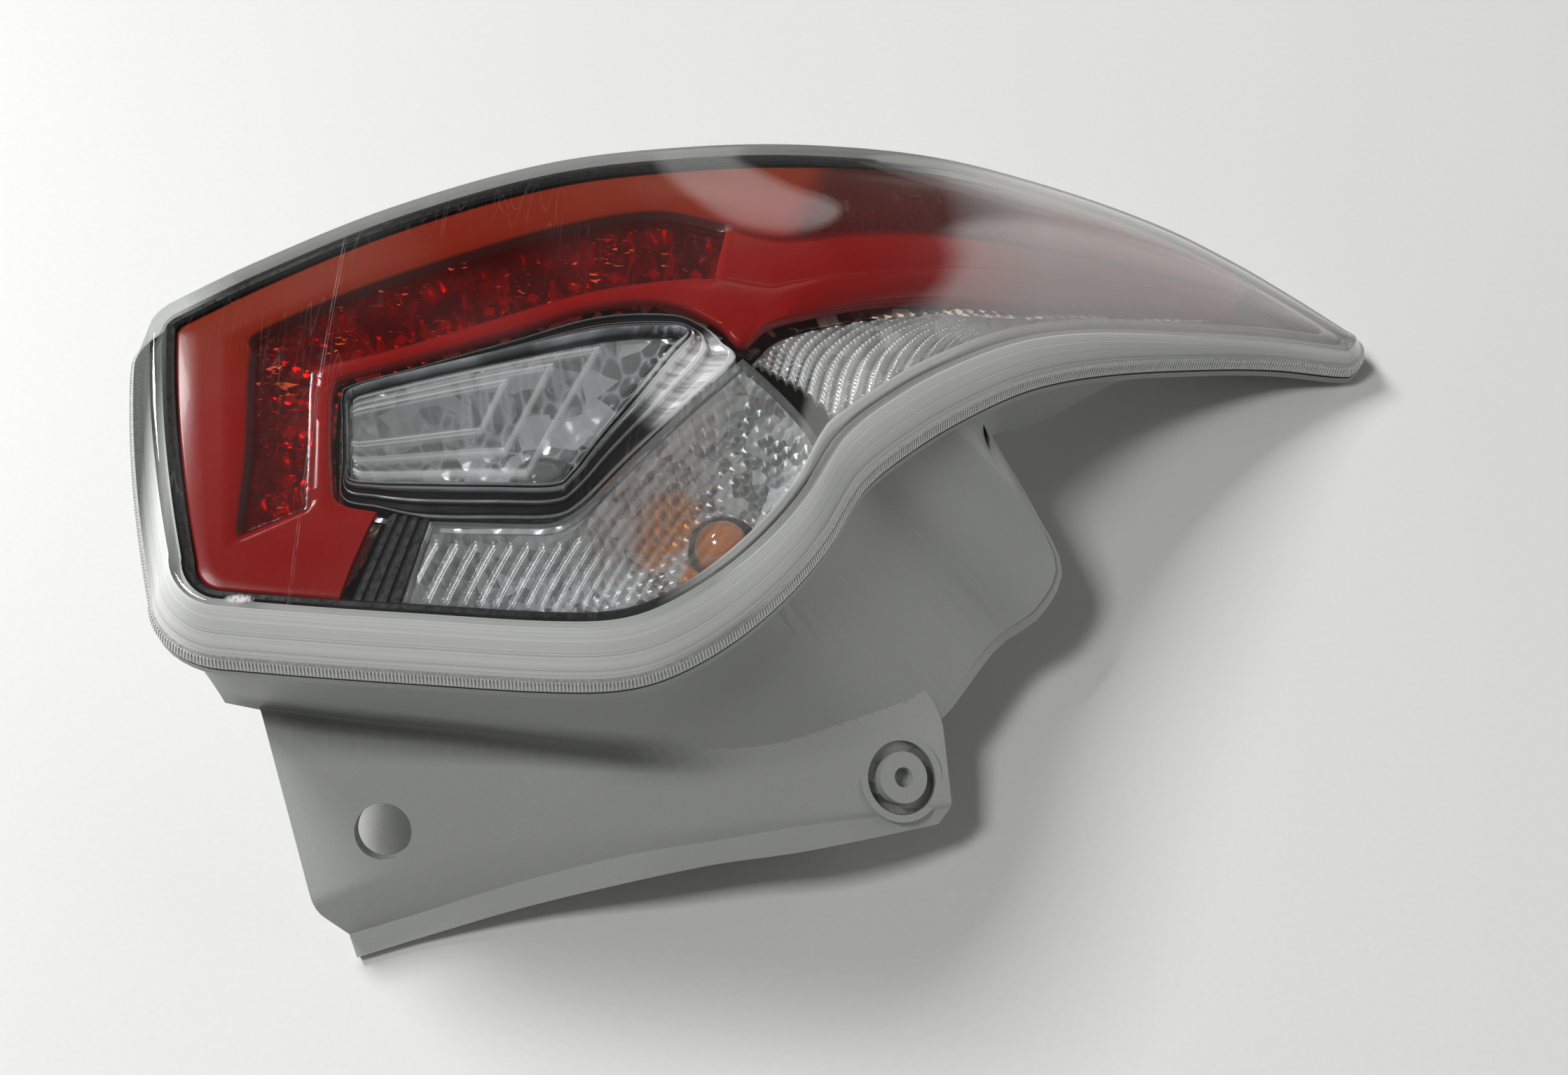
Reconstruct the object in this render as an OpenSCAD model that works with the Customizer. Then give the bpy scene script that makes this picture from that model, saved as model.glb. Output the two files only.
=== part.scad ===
// Wrap-round tail light cluster, lying on its back with the lens face up.
// X runs along the lamp from its blunt end to its tip, Y across it, Z up from the table.

/* [Overall form] */
// Length of the lens face from the blunt end to the tip
lens_len = 436; // [405:1:470]
// Width of the lens face at the blunt end
lens_wide = 104; // [96:1:114]
// Height of the lens face above the table at the blunt end
lens_high = 135; // [128:1:142]

/* [Outer lens] */
// Wall of the clear outer lens
lens_wall = 3; // [2.5:0.1:3.5]
// Height of the slanted side wall at the blunt end
skirt_drop = 28; // [26:0.5:32]
// Height of the slanted side wall at the tip
tip_drop = 12; // [11:0.5:14]
// How far the side wall leans out
skirt_flare = 9.5; // [8.5:0.1:11]
// Extra lean of the side wall at the blunt end
end_flare = 5; // [3:0.5:7]
// Rounding between the face and the side wall
edge_round = 3; // [2:0.1:4]
// Height of the serrated band at the foot of the side wall
foot_band = 5; // [4:0.1:7]
// Width of the foot that stands on the housing rim
foot_wide = 4; // [3:0.1:5]

/* [Inner lenses] */
// Air space between the outer lens and the inner lenses
lens_gap = 2.5; // [2:0.1:3]
// Wall of the red inner lens
red_wall = 2.5; // [2:0.1:3]
// Wall of the clear inner lenses
clear_wall = 2.2; // [1.8:0.1:2.5]
// How far the light guide channel is sunk into the red lens
band_sink = 3; // [2:0.1:3.5]
// Height of the creases in the red lens beyond the channel
crease_sink = 0.9; // [0.4:0.1:1.2]
// Depth of the flutes on the indicator lens
flute_deep = 0.8; // [0.4:0.1:1]

/* [Reflectors and frame] */
// Space between the inner lenses and the rims of the reflectors
seat_gap = 6.5; // [5.5:0.1:7.5]
// Wall of the reflectors
reflector_wall = 1.8; // [1.5:0.1:2.2]
// Depth of each cup in front of a light emitting diode
cup_deep = 8; // [6:0.5:10]
// Number of cups along the end of the lamp
cups_end = 4; // [3:1:5]
// Number of cups along the top of the lamp
cups_top = 10; // [8:1:11]
// Depth of the reverse reflector
reverse_deep = 30; // [26:1:33]
// Depth of the indicator reflector
indicator_deep = 30; // [26:1:33]
// Depth of the flutes on the side reflector
side_flute = 2; // [1:0.1:3]
// Wall of the black frame round the reflectors
frame_wall = 1.6; // [1.4:0.1:2]
// Width of the frame's ledge that carries the reflectors
ledge_wide = 7; // [6.5:0.1:7.5]
// Thickness of the diode board
board_thick = 1.6; // [1:0.1:2]
// Side of a light emitting diode
diode_side = 3.5; // [2.8:0.1:4.2]
// Clearance between parts that seat on each other
fit_gap = 0.3; // [0.2:0.05:0.4]

/* [Housing] */
// Wall of the housing
housing_wall = 2.5; // [2.2:0.1:3]
// Width of the rim that carries the lens
rim_wide = 7.5; // [7:0.1:8.5]
// Thickness of the rim
rim_thick = 3; // [2.5:0.1:4]
// Thickness of the sealing bead between the lens and the rim
seal_thick = 1.2; // [0.8:0.1:1.6]

/* [Flange and mounts] */
// Thickness of the mounting flange
flange_thick = 3; // [2.5:0.1:3.5]
// Diameter of the bolt hole in the flange
bolt_hole_d = 19.5; // [17:0.5:21]
// Height of the collar behind the bolt hole
collar_high = 7; // [5:0.5:9]
// Wall of the collar behind the bolt hole
collar_wall = 2.5; // [2:0.1:3]
// Diameter of the pocket round the boss
pocket_d = 26; // [24:0.5:28]
// Diameter of the boss
boss_d = 18; // [16:0.5:20]
// Diameter of the blind hole in the boss
boss_hole_d = 7; // [5:0.5:8]
// Diameter of the locating pins
pin_d = 9; // [8:0.5:11]

/* [Bulbs] */
// Diameter of the bulb glass
bulb_d = 19; // [17:0.5:20]
// Length of the bulb glass above its cap
bulb_long = 34; // [30:1:36]
// Diameter of the bulb cap
cap_d = 15; // [13:0.5:16]
// Diameter of the holder where it passes the back of the housing
holder_d = 26; // [24:0.5:28]
// Diameter of the grip on the holder
grip_d = 36; // [34:0.5:40]
// Length of the holder below the housing
holder_long = 24; // [20:1:26]
// Diameter of a breather cap
vent_d = 14; // [12:0.5:16]
// Wall of a breather cap
vent_wall = 1.6; // [1.2:0.1:2]

/* [Hidden] */

$fn = 48;

// The outlines are drawn for a lamp of this length, width and height, and stretched to the set sizes.
drawn = [436, 104, 135];
stretch = [lens_len / drawn.x, lens_wide / drawn.y, lens_high / drawn.z];
function place(p) = [p.x * stretch.x, p.y * stretch.y, p.z * stretch.z];
function place_plan(p) = [p.x * stretch.x, p.y * stretch.y];
// Rows of a keyed line hold the key, then x and y.
function keyed(rows) = [for (r = rows) [r[0], r[1] * stretch.x, r[2] * stretch.y]];

function mix(a, b, t) = a * (1 - t) + b * t;
function clamp(v, low, high) = max(low, min(high, v));

// Smooth curve through rows sorted by their first value
function segment(p, x, i = 0) = i >= len(p) - 2 || x < p[i + 1][0] ? i : segment(p, x, i + 1);
function lean(p, i, c) =
    let (a = max(i - 1, 0), b = min(i + 1, len(p) - 1)) (p[b][c] - p[a][c]) / (p[b][0] - p[a][0]);
function along(p, x, c) =
    let (n = len(p) - 1)
    x <= p[0][0] ? p[0][c] + lean(p, 0, c) * (x - p[0][0]) :
    x >= p[n][0] ? p[n][c] + lean(p, n, c) * (x - p[n][0]) :
    let (i = segment(p, x), h = p[i + 1][0] - p[i][0], u = (x - p[i][0]) / h,
         m0 = lean(p, i, c) * h, m1 = lean(p, i + 1, c) * h)
    (2 * u ^ 3 - 3 * u ^ 2 + 1) * p[i][c] + (u ^ 3 - 2 * u ^ 2 + u) * m0
    + (-2 * u ^ 3 + 3 * u ^ 2) * p[i + 1][c] + (u ^ 3 - u ^ 2) * m1;

// Moves the lamp so that the middle of its foot print stands on the origin
middle = [216.5 * stretch.x, -28.5 * stretch.y];
module centred() { translate([-middle.x, -middle.y, 0]) children(); }

// Edge of the face nearest the mounting flange, then the edge along the far side
near_edge = [for (p = [[0, -104, 128], [45, -109, 128], [95, -113, 128], [145, -116, 128],
                       [165, -113, 127], [184, -102, 126], [202, -84, 123], [217, -62, 119],
                       [230, -35, 114], [250, -11, 106], [272, 9, 97], [298, 29, 84],
                       [326, 44, 69], [370, 60, 46], [404, 69, 31], [436, 74, 18]]) place(p)];
far_edge = [for (p = [[0, 0, 135], [30, 20, 135], [75, 44, 136], [128, 66, 134], [176, 79, 128],
                      [220, 90, 117], [268, 102, 97], [315, 110, 71], [360, 111, 47],
                      [392, 104, 32], [419, 92, 22], [436, 82, 17]]) place(p)];
// Crown of the face between its two edges
crown = [for (p = [[0, 0, 4], [100, 0, 6], [200, 0, 10], [280, 0, 16], [360, 0, 13],
                   [420, 0, 5], [436, 0, 3]]) place(p)];
// Shares of the full lean and of the drop of the side wall along the lamp
skirt_shape = [[0, 1, 1], [240, 1, 0.95], [300, 0.85, 0.72], [360, 0.6, 0.4], [404, 0.55, 0.18],
               [436, 0.7, 0]];

function hyp(slope) = sqrt(1 + slope ^ 2);
function slope_of(p, x) = (along(p, x + 0.5, 1) - along(p, x - 0.5, 1));
function face_z(x, y) =
    let (a = along(near_edge, x, 1), b = along(far_edge, x, 1), t = clamp((y - a) / (b - a), -0.2, 1.2))
    mix(along(near_edge, x, 2), along(far_edge, x, 2), t) + along(crown, x, 2) * 4 * t * (1 - t);
function steepness(x, y) =
    min(1.7, sqrt(1 + (face_z(x + 0.5, y) - face_z(x - 0.5, y)) ^ 2
                    + (face_z(x, y + 0.5) - face_z(x, y - 0.5)) ^ 2));
// Point at a depth below the face
function under(p, d) = [p.x, p.y, face_z(p.x, p.y) - d * steepness(p.x, p.y)];

function shape_share(x, c) = along(skirt_shape, x / stretch.x, c);
function drop_at(x) = mix(tip_drop, skirt_drop, shape_share(x, 2));
function thinning(x) = (drop_at(x) / skirt_drop) ^ 2;
function flare_at(x, nx) = skirt_flare * shape_share(x, 1) + end_flare * max(0, -nx) ^ 2;

// Depths of the layers inside the lamp, which close up towards the tip
function red_depth(x) = lens_wall + lens_gap * thinning(x);
function seat_depth(x) = red_depth(x) + red_wall + seat_gap * thinning(x);
ledge_gap = 0.7;
function ledge_depth(x) = seat_depth(x) + reflector_wall + ledge_gap;

// Outline of the face
end_slant = 18 * stretch.x;
end_bow = 1.6;
near_corner_r = 14;
far_corner_r = 5;
tip_bow = 2.5;
tip_taper = 2.2;
corner_steps = 4;
face_rows = 7;
// Stations along the face, close together at the corner and the S-bend
face_stations = [for (i = [0:corner_steps]) near_corner_r * (1 - cos(90 * i / corner_steps)),
                 for (x = [28:15:148]) x,
                 for (x = [158:9:257]) x,
                 for (x = [270:15:420]) x, 430, drawn.x];
function rounding(dx, r) = dx >= r ? 0 : r - sqrt(max(0, r ^ 2 - (r - dx) ^ 2));
function near_point(w, m) =
    let (x = mix(end_slant + m, lens_len - tip_taper * m, w), r = max(near_corner_r - m, 2))
    [x, along(near_edge, x, 1) + m * hyp(slope_of(near_edge, x)) + rounding(x - end_slant - m, r)];
function far_point(w, m) =
    let (x = mix(m, lens_len - tip_taper * m, w), r = max(far_corner_r - m, 2))
    [x, along(far_edge, x, 1) - m * hyp(slope_of(far_edge, x)) - rounding(x - m, r)];
function near_inset(x, m) = [x, along(near_edge, x, 1) + m * hyp(slope_of(near_edge, x))];
function face_grid(m) = [for (s = face_stations)
    let (w = s / drawn.x, a = near_point(w, m), b = far_point(w, m))
    [for (j = [0:face_rows - 1])
        let (t = j / (face_rows - 1), bulge = 4 * t * (1 - t))
        mix(a, b, t) + [tip_bow * bulge * w ^ 12 - end_bow * bulge * (1 - w) ^ 12, 0]]];

// Boundary of a grid, counter-clockwise from its first corner
function rim_of(g) = let (n = len(g), m = len(g[0]))
    [for (i = [0:n - 1]) g[i][0], for (j = [1:m - 1]) g[n - 1][j],
     for (i = [n - 2:-1:0]) g[i][m - 1], for (j = [m - 2:-1:1]) g[0][j]];
function outward(loop, k) =
    let (n = len(loop), d = loop[(k + 1) % n] - loop[(k + n - 1) % n]) [d.y, -d.x] / norm([d.x, d.y]);

face_rim = rim_of(face_grid(0));
face_out = [for (k = [0:len(face_rim) - 1]) outward(face_rim, k)];
// Ring at a share of the lean outside the face edge and a drop below it
function outer_ring(share, extra, drop_share, more) = [for (k = [0:len(face_rim) - 1])
    let (p = face_rim[k], n = face_out[k], o = flare_at(p.x, n.x) * share + extra)
    [p.x + n.x * o, p.y + n.y * o, face_z(p.x, p.y) - drop_at(p.x) * drop_share - more]];

// Closed solid from an upper grid, rings from its edge down and round, and a lower grid
function rim_index(k, n, m) =
    k < n ? k * m : k < n + m - 1 ? (n - 1) * m + k - n + 1 :
    k < 2 * n + m - 2 ? (2 * n + m - 3 - k) * m + m - 1 : 2 * n + 2 * m - 4 - k;
module closed_shell(upper, rings, lower) {
    n = len(upper);
    m = len(upper[0]);
    count = 2 * n + 2 * m - 4;
    first_ring = n * m;
    first_lower = first_ring + len(rings) * count;
    function at(r, k) = let (kk = k % count)
        r == 0 ? rim_index(kk, n, m) : r <= len(rings) ? first_ring + (r - 1) * count + kk
        : first_lower + rim_index(kk, n, m);
    points = [for (row = upper) for (p = row) p, for (r = rings) for (p = r) p,
              for (row = lower) for (p = row) p];
    faces = [for (i = [0:n - 2]) for (j = [0:m - 2]) let (a = i * m + j, b = a + m)
                 each [[a, a + 1, b + 1], [a, b + 1, b]],
             for (r = [0:len(rings)]) for (k = [0:count - 1])
                 each [[at(r, k), at(r, k + 1), at(r + 1, k + 1)],
                       [at(r, k), at(r + 1, k + 1), at(r + 1, k)]],
             for (i = [0:n - 2]) for (j = [0:m - 2]) let (a = first_lower + i * m + j, b = a + m)
                 each [[a, b, b + 1], [a, b + 1, a + 1]]];
    polyhedron(points, faces, convexity = 8);
}

// Closed ring whose section runs through the given rings
module closed_ring(rings) {
    count = len(rings[0]);
    total = len(rings);
    function at(r, k) = (r % total) * count + k % count;
    faces = [for (r = [0:total - 1]) for (k = [0:count - 1])
                 each [[at(r, k), at(r, k + 1), at(r + 1, k + 1)],
                       [at(r, k), at(r + 1, k + 1), at(r + 1, k)]]];
    polyhedron([for (r = rings) for (p = r) p], faces, convexity = 8);
}

function grid_under(g, depth) = [for (row = g) [for (p = row) under(p, depth)]];

// Clear outer lens
module outer_lens() {
    fillet = [[0.574, 0.181], [0.94, 0.658]];
    step = 0.8;
    color([0.92, 0.93, 0.93, 0.35]) centred()
    closed_shell(
        grid_under(face_grid(0), 0),
        [for (f = fillet) outer_ring(0, f[0] * edge_round, 0, f[1] * edge_round),
         outer_ring(1, -foot_band * 0.3, 1, -foot_band),
         outer_ring(1, -foot_band * 0.3 + step, 1, -foot_band + step / 2),
         outer_ring(1, step, 1, 0),
         outer_ring(1, step - foot_wide, 1, 0)],
        grid_under(face_grid(lens_wall / 2), lens_wall));
}

// Bead of sealant between the lens foot and the housing rim
seal_gap = 0.15;
module sealing_bead() {
    edge = 0.4;
    low = seal_thick - seal_gap;
    color([0.1, 0.1, 0.1]) centred()
    closed_ring([outer_ring(1, edge - foot_wide, 1, seal_gap), outer_ring(1, edge, 1, seal_gap),
                 outer_ring(1, edge, 1, low), outer_ring(1, edge - foot_wide, 1, low)]);
}

// Foot of the housing walls: x, y and z for each station of the near edge
near_base = [for (p = [[0, 2, -103, 56], [60, 60, -112.5, 50], [110, 110, -119, 46],
                       [145, 148, -125, 42], [165, 174, -128, 38], [184, 213, -129, 34],
                       [202, 247, -118, 32], [217, 268, -98, 29], [230, 288, -70, 28],
                       [240, 304, -58, 30], [250, 313, -40, 33], [261, 303, -22, 45],
                       [272, 289, -6, 55], [286, 289, 16, 38], [300, 303, 27, 28], [313, 316, 35, 25],
                       [328, 329, 42, 28], [341, 341, 47.5, 30], [370, 368, 60, 21], [404, 400, 71, 9],
                       [436, 428, 76, 3]])
                 [p[0] * stretch.x, p[1] * stretch.x, p[2] * stretch.y, p[3] * stretch.z]];
far_base = [for (p = [[0, 6, 4, 52], [30, 34, 16, 50], [75, 77, 37, 48], [128, 128, 58, 46],
                      [176, 176, 71, 42], [220, 219, 82, 40], [268, 266, 93, 40],
                      [300, 298, 99, 38], [330, 326, 102, 30], [360, 355, 103, 22],
                      [392, 388, 98, 12], [419, 410, 88, 6], [436, 426, 80, 3]])
                [p[0] * stretch.x, p[1] * stretch.x, p[2] * stretch.y, p[3] * stretch.z]];
function base_point(rows, key) = [along(rows, key, 1), along(rows, key, 2), along(rows, key, 3)];
function base_grid(lift) = [for (s = face_stations)
    let (w = s / drawn.x, a = base_point(near_base, near_point(w, 0).x),
         b = base_point(far_base, far_point(w, 0).x))
    [for (j = [0:face_rows - 1]) mix(a, b, j / (face_rows - 1)) + [0, 0, lift]]];
function inset_loop(loop, m, lift) = [for (k = [0:len(loop) - 1])
    let (n = outward(loop, k)) [loop[k].x - n.x * m, loop[k].y - n.y * m, loop[k].z + lift]];
// Grid pulled in from all its sides by m
function inset_grid(g, m) = let (n = len(g), q = len(g[0]), loop = inset_loop(rim_of(g), m, 0))
    [for (i = [0:n - 1]) [for (j = [0:q - 1])
        j == 0 ? loop[i] : j == q - 1 ? loop[2 * n + q - 3 - i] :
        i == n - 1 ? loop[n - 1 + j] : i == 0 ? loop[2 * n + 2 * q - 4 - j] : g[i][j]]];

rim_out = 0.5;
wall_in = rim_wide - rim_out - housing_wall;
wall_shares = [0.33, 0.67];
module housing_tub() {
    base = base_grid(0);
    rim_foot = outer_ring(1, -wall_in, 1, seal_thick + rim_thick);
    foot_loop = rim_of(base);
    inner = [for (row = inset_grid(base, housing_wall)) [for (p = row) p + [0, 0, housing_wall]]];
    closed_shell(
        inner,
        [outer_ring(1, rim_out - rim_wide, 1, seal_thick),
         outer_ring(1, rim_out, 1, seal_thick),
         outer_ring(1, rim_out, 1, seal_thick + rim_thick),
         rim_foot,
         for (share = wall_shares) [for (k = [0:len(rim_foot) - 1]) mix(rim_foot[k], foot_loop[k], share)]],
        base);
}
// Point on the near wall of the housing, at a share of the way down from its rim
function wall_point(x, share) =
    let (a = near_inset(x, 0), tilt = slope_of(near_edge, x), n = [tilt, -1] / hyp(tilt),
         o = flare_at(x, 0) - wall_in,
         top = [a.x + n.x * o, a.y + n.y * o,
                along(near_edge, x, 2) - drop_at(x) - seal_thick - rim_thick])
    mix(top, base_point(near_base, x), share);

// Where the crease runs on the housing wall: station of the near edge and share of the way down
crease = [[0, 31, 0.95], [0.17, 74, 0.85], [0.36, 116, 0.79], [0.54, 151, 0.73], [0.68, 171, 0.74],
          [0.82, 187, 0.78], [0.92, 202, 0.83], [1, 217, 0.97]];
// Bend of the flange, then the two edges of its lip
flange_rows = [for (r = [
    [[0, 51, -168.5, 22], [0.17, 80, -157.5, 25], [0.36, 117.5, -148.5, 30], [0.54, 156, -145.5, 33.5],
     [0.68, 185, -144, 36], [0.82, 213.5, -140.5, 35], [0.92, 240, -136, 31], [1, 269.5, -129, 23]],
    [[0, 60.5, -170.5, 5.5], [0.17, 84.5, -163.5, 7.5], [0.36, 120, -155, 15], [0.54, 158, -149, 24.5],
     [0.68, 186.5, -146, 29], [0.82, 214.5, -142, 31.5], [0.92, 240, -137, 28.5], [1, 269, -130, 21]],
    [[0, 63.5, -178, 2.8], [0.17, 88, -170.5, 4.5], [0.36, 122.5, -162.5, 11], [0.54, 159.5, -157, 20],
     [0.68, 187.5, -152.5, 24], [0.82, 215.5, -149.5, 27], [0.92, 240, -143.5, 25], [1, 265, -135, 19]]])
    [for (p = r) [p[0], p[1] * stretch.x, p[2] * stretch.y, p[3] * stretch.z]]];
function flange_point(row, key) =
    row == 0 ? wall_point(along(crease, key, 1) * stretch.x, along(crease, key, 2))
    : base_point(flange_rows[row - 1], key);
function flange_cross(key) = let (d = flange_point(1, key) - flange_point(0, key)) d / norm(d);
// Point of the flange between its crease and its bend, and the way that the sheet faces there
function flange_sheet(key, share) = mix(flange_point(0, key), flange_point(1, key), share);
function flange_normal(key, share = 0) =
    let (a = flange_point(1, key) - flange_point(0, key),
         b = flange_sheet(min(key + 0.05, 1), share) - flange_sheet(max(key - 0.05, 0), share),
         n = cross(a, b)) n / norm(n);
flange_steps = 20;
flange_sunk = 1.5;
module flange_plate() {
    keys = [for (i = [0:flange_steps]) i / flange_steps];
    front = [for (key = keys) let (d = flange_cross(key))
        [flange_point(3, key), flange_point(2, key), flange_point(1, key),
         mix(flange_point(0, key), flange_point(1, key), 0.5), flange_point(0, key) - d * flange_sunk]];
    back = [for (i = [0:flange_steps]) let (n = flange_normal(keys[i]))
        [for (p = front[i]) p - n * flange_thick]];
    closed_shell(front, [], back);
}

// Turns a Z-axis shape so that it points along n at p
module aim(p, n) {
    translate(p) rotate([0, acos(n.z / norm(n)), atan2(n.y, n.x)]) children();
}

hole_key = 0.15;
hole_share = 0.69;
hole_at = flange_sheet(hole_key, hole_share);
hole_n = flange_normal(hole_key, hole_share);
boss_key = 0.955;
boss_share = 0.62;
boss_at = flange_sheet(boss_key, boss_share);
boss_n = flange_normal(boss_key, boss_share);
boss_proud = 1.5;
boss_hole_deep = 6;
pocket_sink = 3;

// Places of the bulbs and of what stands on the back
reverse_at = place_plan([128, -42]);
indicator_at = place_plan([190, -66]);
bulb_spots = [reverse_at, indicator_at];
holder_seat = 33 * stretch.z;
socket_top = 49 * stretch.z;
socket_wall = 2.5;
vent_spots = [place([80, 10, 42]), place([205, 40, 30])];
vent_stub = 12;
pin_spots = [place([34, -24, 44]), place([330, 82, 24])];
pin_socket_d = pin_d + 7;
pin_socket_long = 12;
spigot_d = 0.6 * pin_d;
spigot_long = 6;

module housing() {
    color([0.56, 0.57, 0.56]) centred()
    difference() {
        union() {
            housing_tub();
            flange_plate();
            aim(hole_at, -hole_n) translate([0, 0, flange_thick / 2])
                cylinder(h = collar_high, d = bolt_hole_d + 2 * collar_wall);
            aim(boss_at, -boss_n) translate([0, 0, flange_thick / 2])
                cylinder(h = pocket_sink + flange_thick / 2, d = pocket_d + 2 * collar_wall);
            aim(boss_at, boss_n) translate([0, 0, -pocket_sink])
                cylinder(h = pocket_sink + boss_proud, d = boss_d);
            for (p = bulb_spots) translate([p.x, p.y, holder_seat])
                cylinder(h = socket_top - holder_seat, d = holder_d + 2 * socket_wall);
            for (p = vent_spots) translate(p) cylinder(h = vent_stub, d = vent_d - 2 * vent_wall);
            for (p = pin_spots) translate(p) cylinder(h = pin_socket_long, d = pin_socket_d);
        }
        aim(hole_at, hole_n) translate([0, 0, -collar_high - flange_thick])
            cylinder(h = collar_high + 3 * flange_thick, d = bolt_hole_d);
        aim(boss_at, boss_n) difference() {
            translate([0, 0, -pocket_sink]) cylinder(h = 4 * pocket_sink, d = pocket_d);
            translate([0, 0, -2 * pocket_sink]) cylinder(h = 2 * pocket_sink + boss_proud, d = boss_d);
        }
        aim(boss_at, boss_n) translate([0, 0, boss_proud - boss_hole_deep])
            cylinder(h = 2 * boss_hole_deep, d = boss_hole_d);
        for (p = bulb_spots) translate([p.x, p.y, holder_seat - 1])
            cylinder(h = socket_top - holder_seat + 2, d = holder_d);
        for (p = pin_spots) translate(p - [0, 0, 1]) cylinder(h = spigot_long + 2, d = spigot_d + fit_gap);
    }
}

// Black frame that stands on the housing rim and carries the reflectors on a ledge
deepest_share = 0.9;
function face_ring(m, depth_share, more) =
    let (loop = rim_of(face_grid(m))) [for (k = [0:len(loop) - 1])
        let (p = loop[k], q = face_rim[k], low = face_z(q.x, q.y) - drop_at(q.x) * deepest_share)
        [p.x, p.y, max(low, under(p, depth_share * ledge_depth(p.x) + more).z)]];
module frame() {
    top = 3.5;
    top_depth = lens_wall + 1;
    foot = 4.5;
    shoulder = 0.75;
    color([0.09, 0.09, 0.1]) centred()
    closed_ring([
        face_ring(top + frame_wall, 0, top_depth), face_ring(top, 0, top_depth),
        outer_ring(1, -foot, 1, seal_thick - fit_gap),
        outer_ring(1, -foot - frame_wall, 1, seal_thick - fit_gap),
        outer_ring(shoulder, -foot - frame_wall, deepest_share, 0),
        face_ring(frame_wall + ledge_wide, 1, 0),
        face_ring(frame_wall, 1, 0)]);
}

// Lines of the red lens, keyed by the way round it: 0 to 1 along the near edge to the blunt
// end, 1 to 2 across the blunt end and 2 to 3 along the far edge to the tip
red_start = 70 * stretch.x;
red_end = 405 * stretch.x;
red_inset = 7;
red_inner = keyed([[0, 80, -75], [0.45, 70, -73], [0.85, 66, -70], [1, 65, -66], [1.35, 63, -52],
                   [1.7, 62, -38], [1.95, 62, -29], [2.03, 65, -24.5], [2.11, 85, -18],
                   [2.22, 118, -6.5], [2.32, 147, 5], [2.41, 171, 8], [2.475, 188, 0],
                   [2.53, 197, -8], [2.57, 205, 1], [2.62, 220, 9], [2.67, 240, 19],
                   [2.73, 262, 28], [2.8, 288, 38], [2.88, 328, 54], [3, 394, 77]]);
band_inner = keyed([[0, 77, -83], [0.45, 64, -82], [0.85, 58, -78], [1, 58, -71], [1.35, 57, -52],
                    [1.7, 55.5, -34], [1.95, 55, -25], [2.03, 57, -20], [2.11, 78, -14],
                    [2.22, 110, -2], [2.32, 140, 10], [2.41, 165, 17], [2.475, 186, 20],
                    [2.53, 205, 18], [2.57, 214, 21], [2.62, 228, 27], [2.67, 247, 34],
                    [2.73, 270, 43], [2.8, 296, 53], [2.88, 332, 65], [3, 396, 81]]);
band_outer = keyed([[0, 73, -95], [0.45, 52, -94], [0.85, 38, -89], [1, 36, -80], [1.35, 36, -54],
                    [1.7, 33.5, -26], [1.95, 33, -13], [2.03, 34, -6], [2.11, 62, 10],
                    [2.22, 102, 28], [2.32, 137, 42], [2.41, 167, 50], [2.475, 190, 46],
                    [2.53, 207, 42], [2.57, 220, 44], [2.62, 236, 49], [2.67, 255, 54],
                    [2.73, 280, 60], [2.8, 303, 66], [2.88, 338, 74], [3, 398, 85]]);
function keyed_point(rows, key) = [along(rows, key, 1), along(rows, key, 2)];
// Point of the face outline at a key, pulled in by m
function brim(key, m) =
    let (shorter = (1 + tip_taper) * m)
    key <= 1 ? near_point((1 - key) * (red_start - end_slant - m) / (lens_len - end_slant - shorter), m) :
    key <= 2 ? let (t = key - 1) mix(near_point(0, m), far_point(0, m), t) - [end_bow * 4 * t * (1 - t), 0] :
    far_point((key - 2) * (red_end - m) / (lens_len - shorter), m);
function toward(a, b, m) = a + (b - a) * m / norm(b - a);

// Row of plan points across the red lens, from its inner edge to its outer edge
function red_row(key, m) =
    let (a = keyed_point(red_inner, key), b = keyed_point(band_inner, key),
         c = keyed_point(band_outer, key), d = brim(key, red_inset))
    [toward(a, b, m), toward(b, a, step_half), toward(b, c, step_half), mix(b, c, 0.5),
     toward(c, b, step_half), toward(c, d, step_half), toward(d, c, m)];
step_half = 0.7;
band_first = 0.95;
band_last = 2.475;
function sink_at(key) = key < band_first ? 0 : key <= band_last ? band_sink : crease_sink;
function red_sink(key, j) = j >= 2 && j <= 4 ? sink_at(key) : 0;
red_keys = [0, 0.25, 0.5, 0.75, 0.9, 0.96, 1.06, 1.18, 1.35, 1.55, 1.75, 1.9, 1.98, 2.01, 2.03,
            2.06, 2.1, 2.15, 2.2, 2.25, 2.3, 2.35, 2.39, 2.42, 2.45, 2.475, 2.5, 2.53, 2.57, 2.62,
            2.67, 2.73, 2.8, 2.88, 2.94, 2.99];
// Wall of the legs on which the inner lenses stand, and their gap over the reflectors
leg_wall = 1.8;
leg_gap = 0.6;
function red_surface(more, m) = [for (key = red_keys)
    let (row = red_row(clamp(key, m / 100, 2.99 - m / 400), m))
    [for (j = [0:6]) under(row[j], red_depth(row[j].x) + red_sink(key, j) + more)]];
module red_inner_lens() {
    function leg(m) = [for (p = rim_of(red_surface(0, m))) under(p, seat_depth(p.x) - leg_gap)];
    color([0.6, 0.03, 0.02, 0.8]) centred()
    closed_shell(red_surface(0, 0), [leg(0), leg(leg_wall)], red_surface(red_wall, leg_wall));
}

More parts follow.
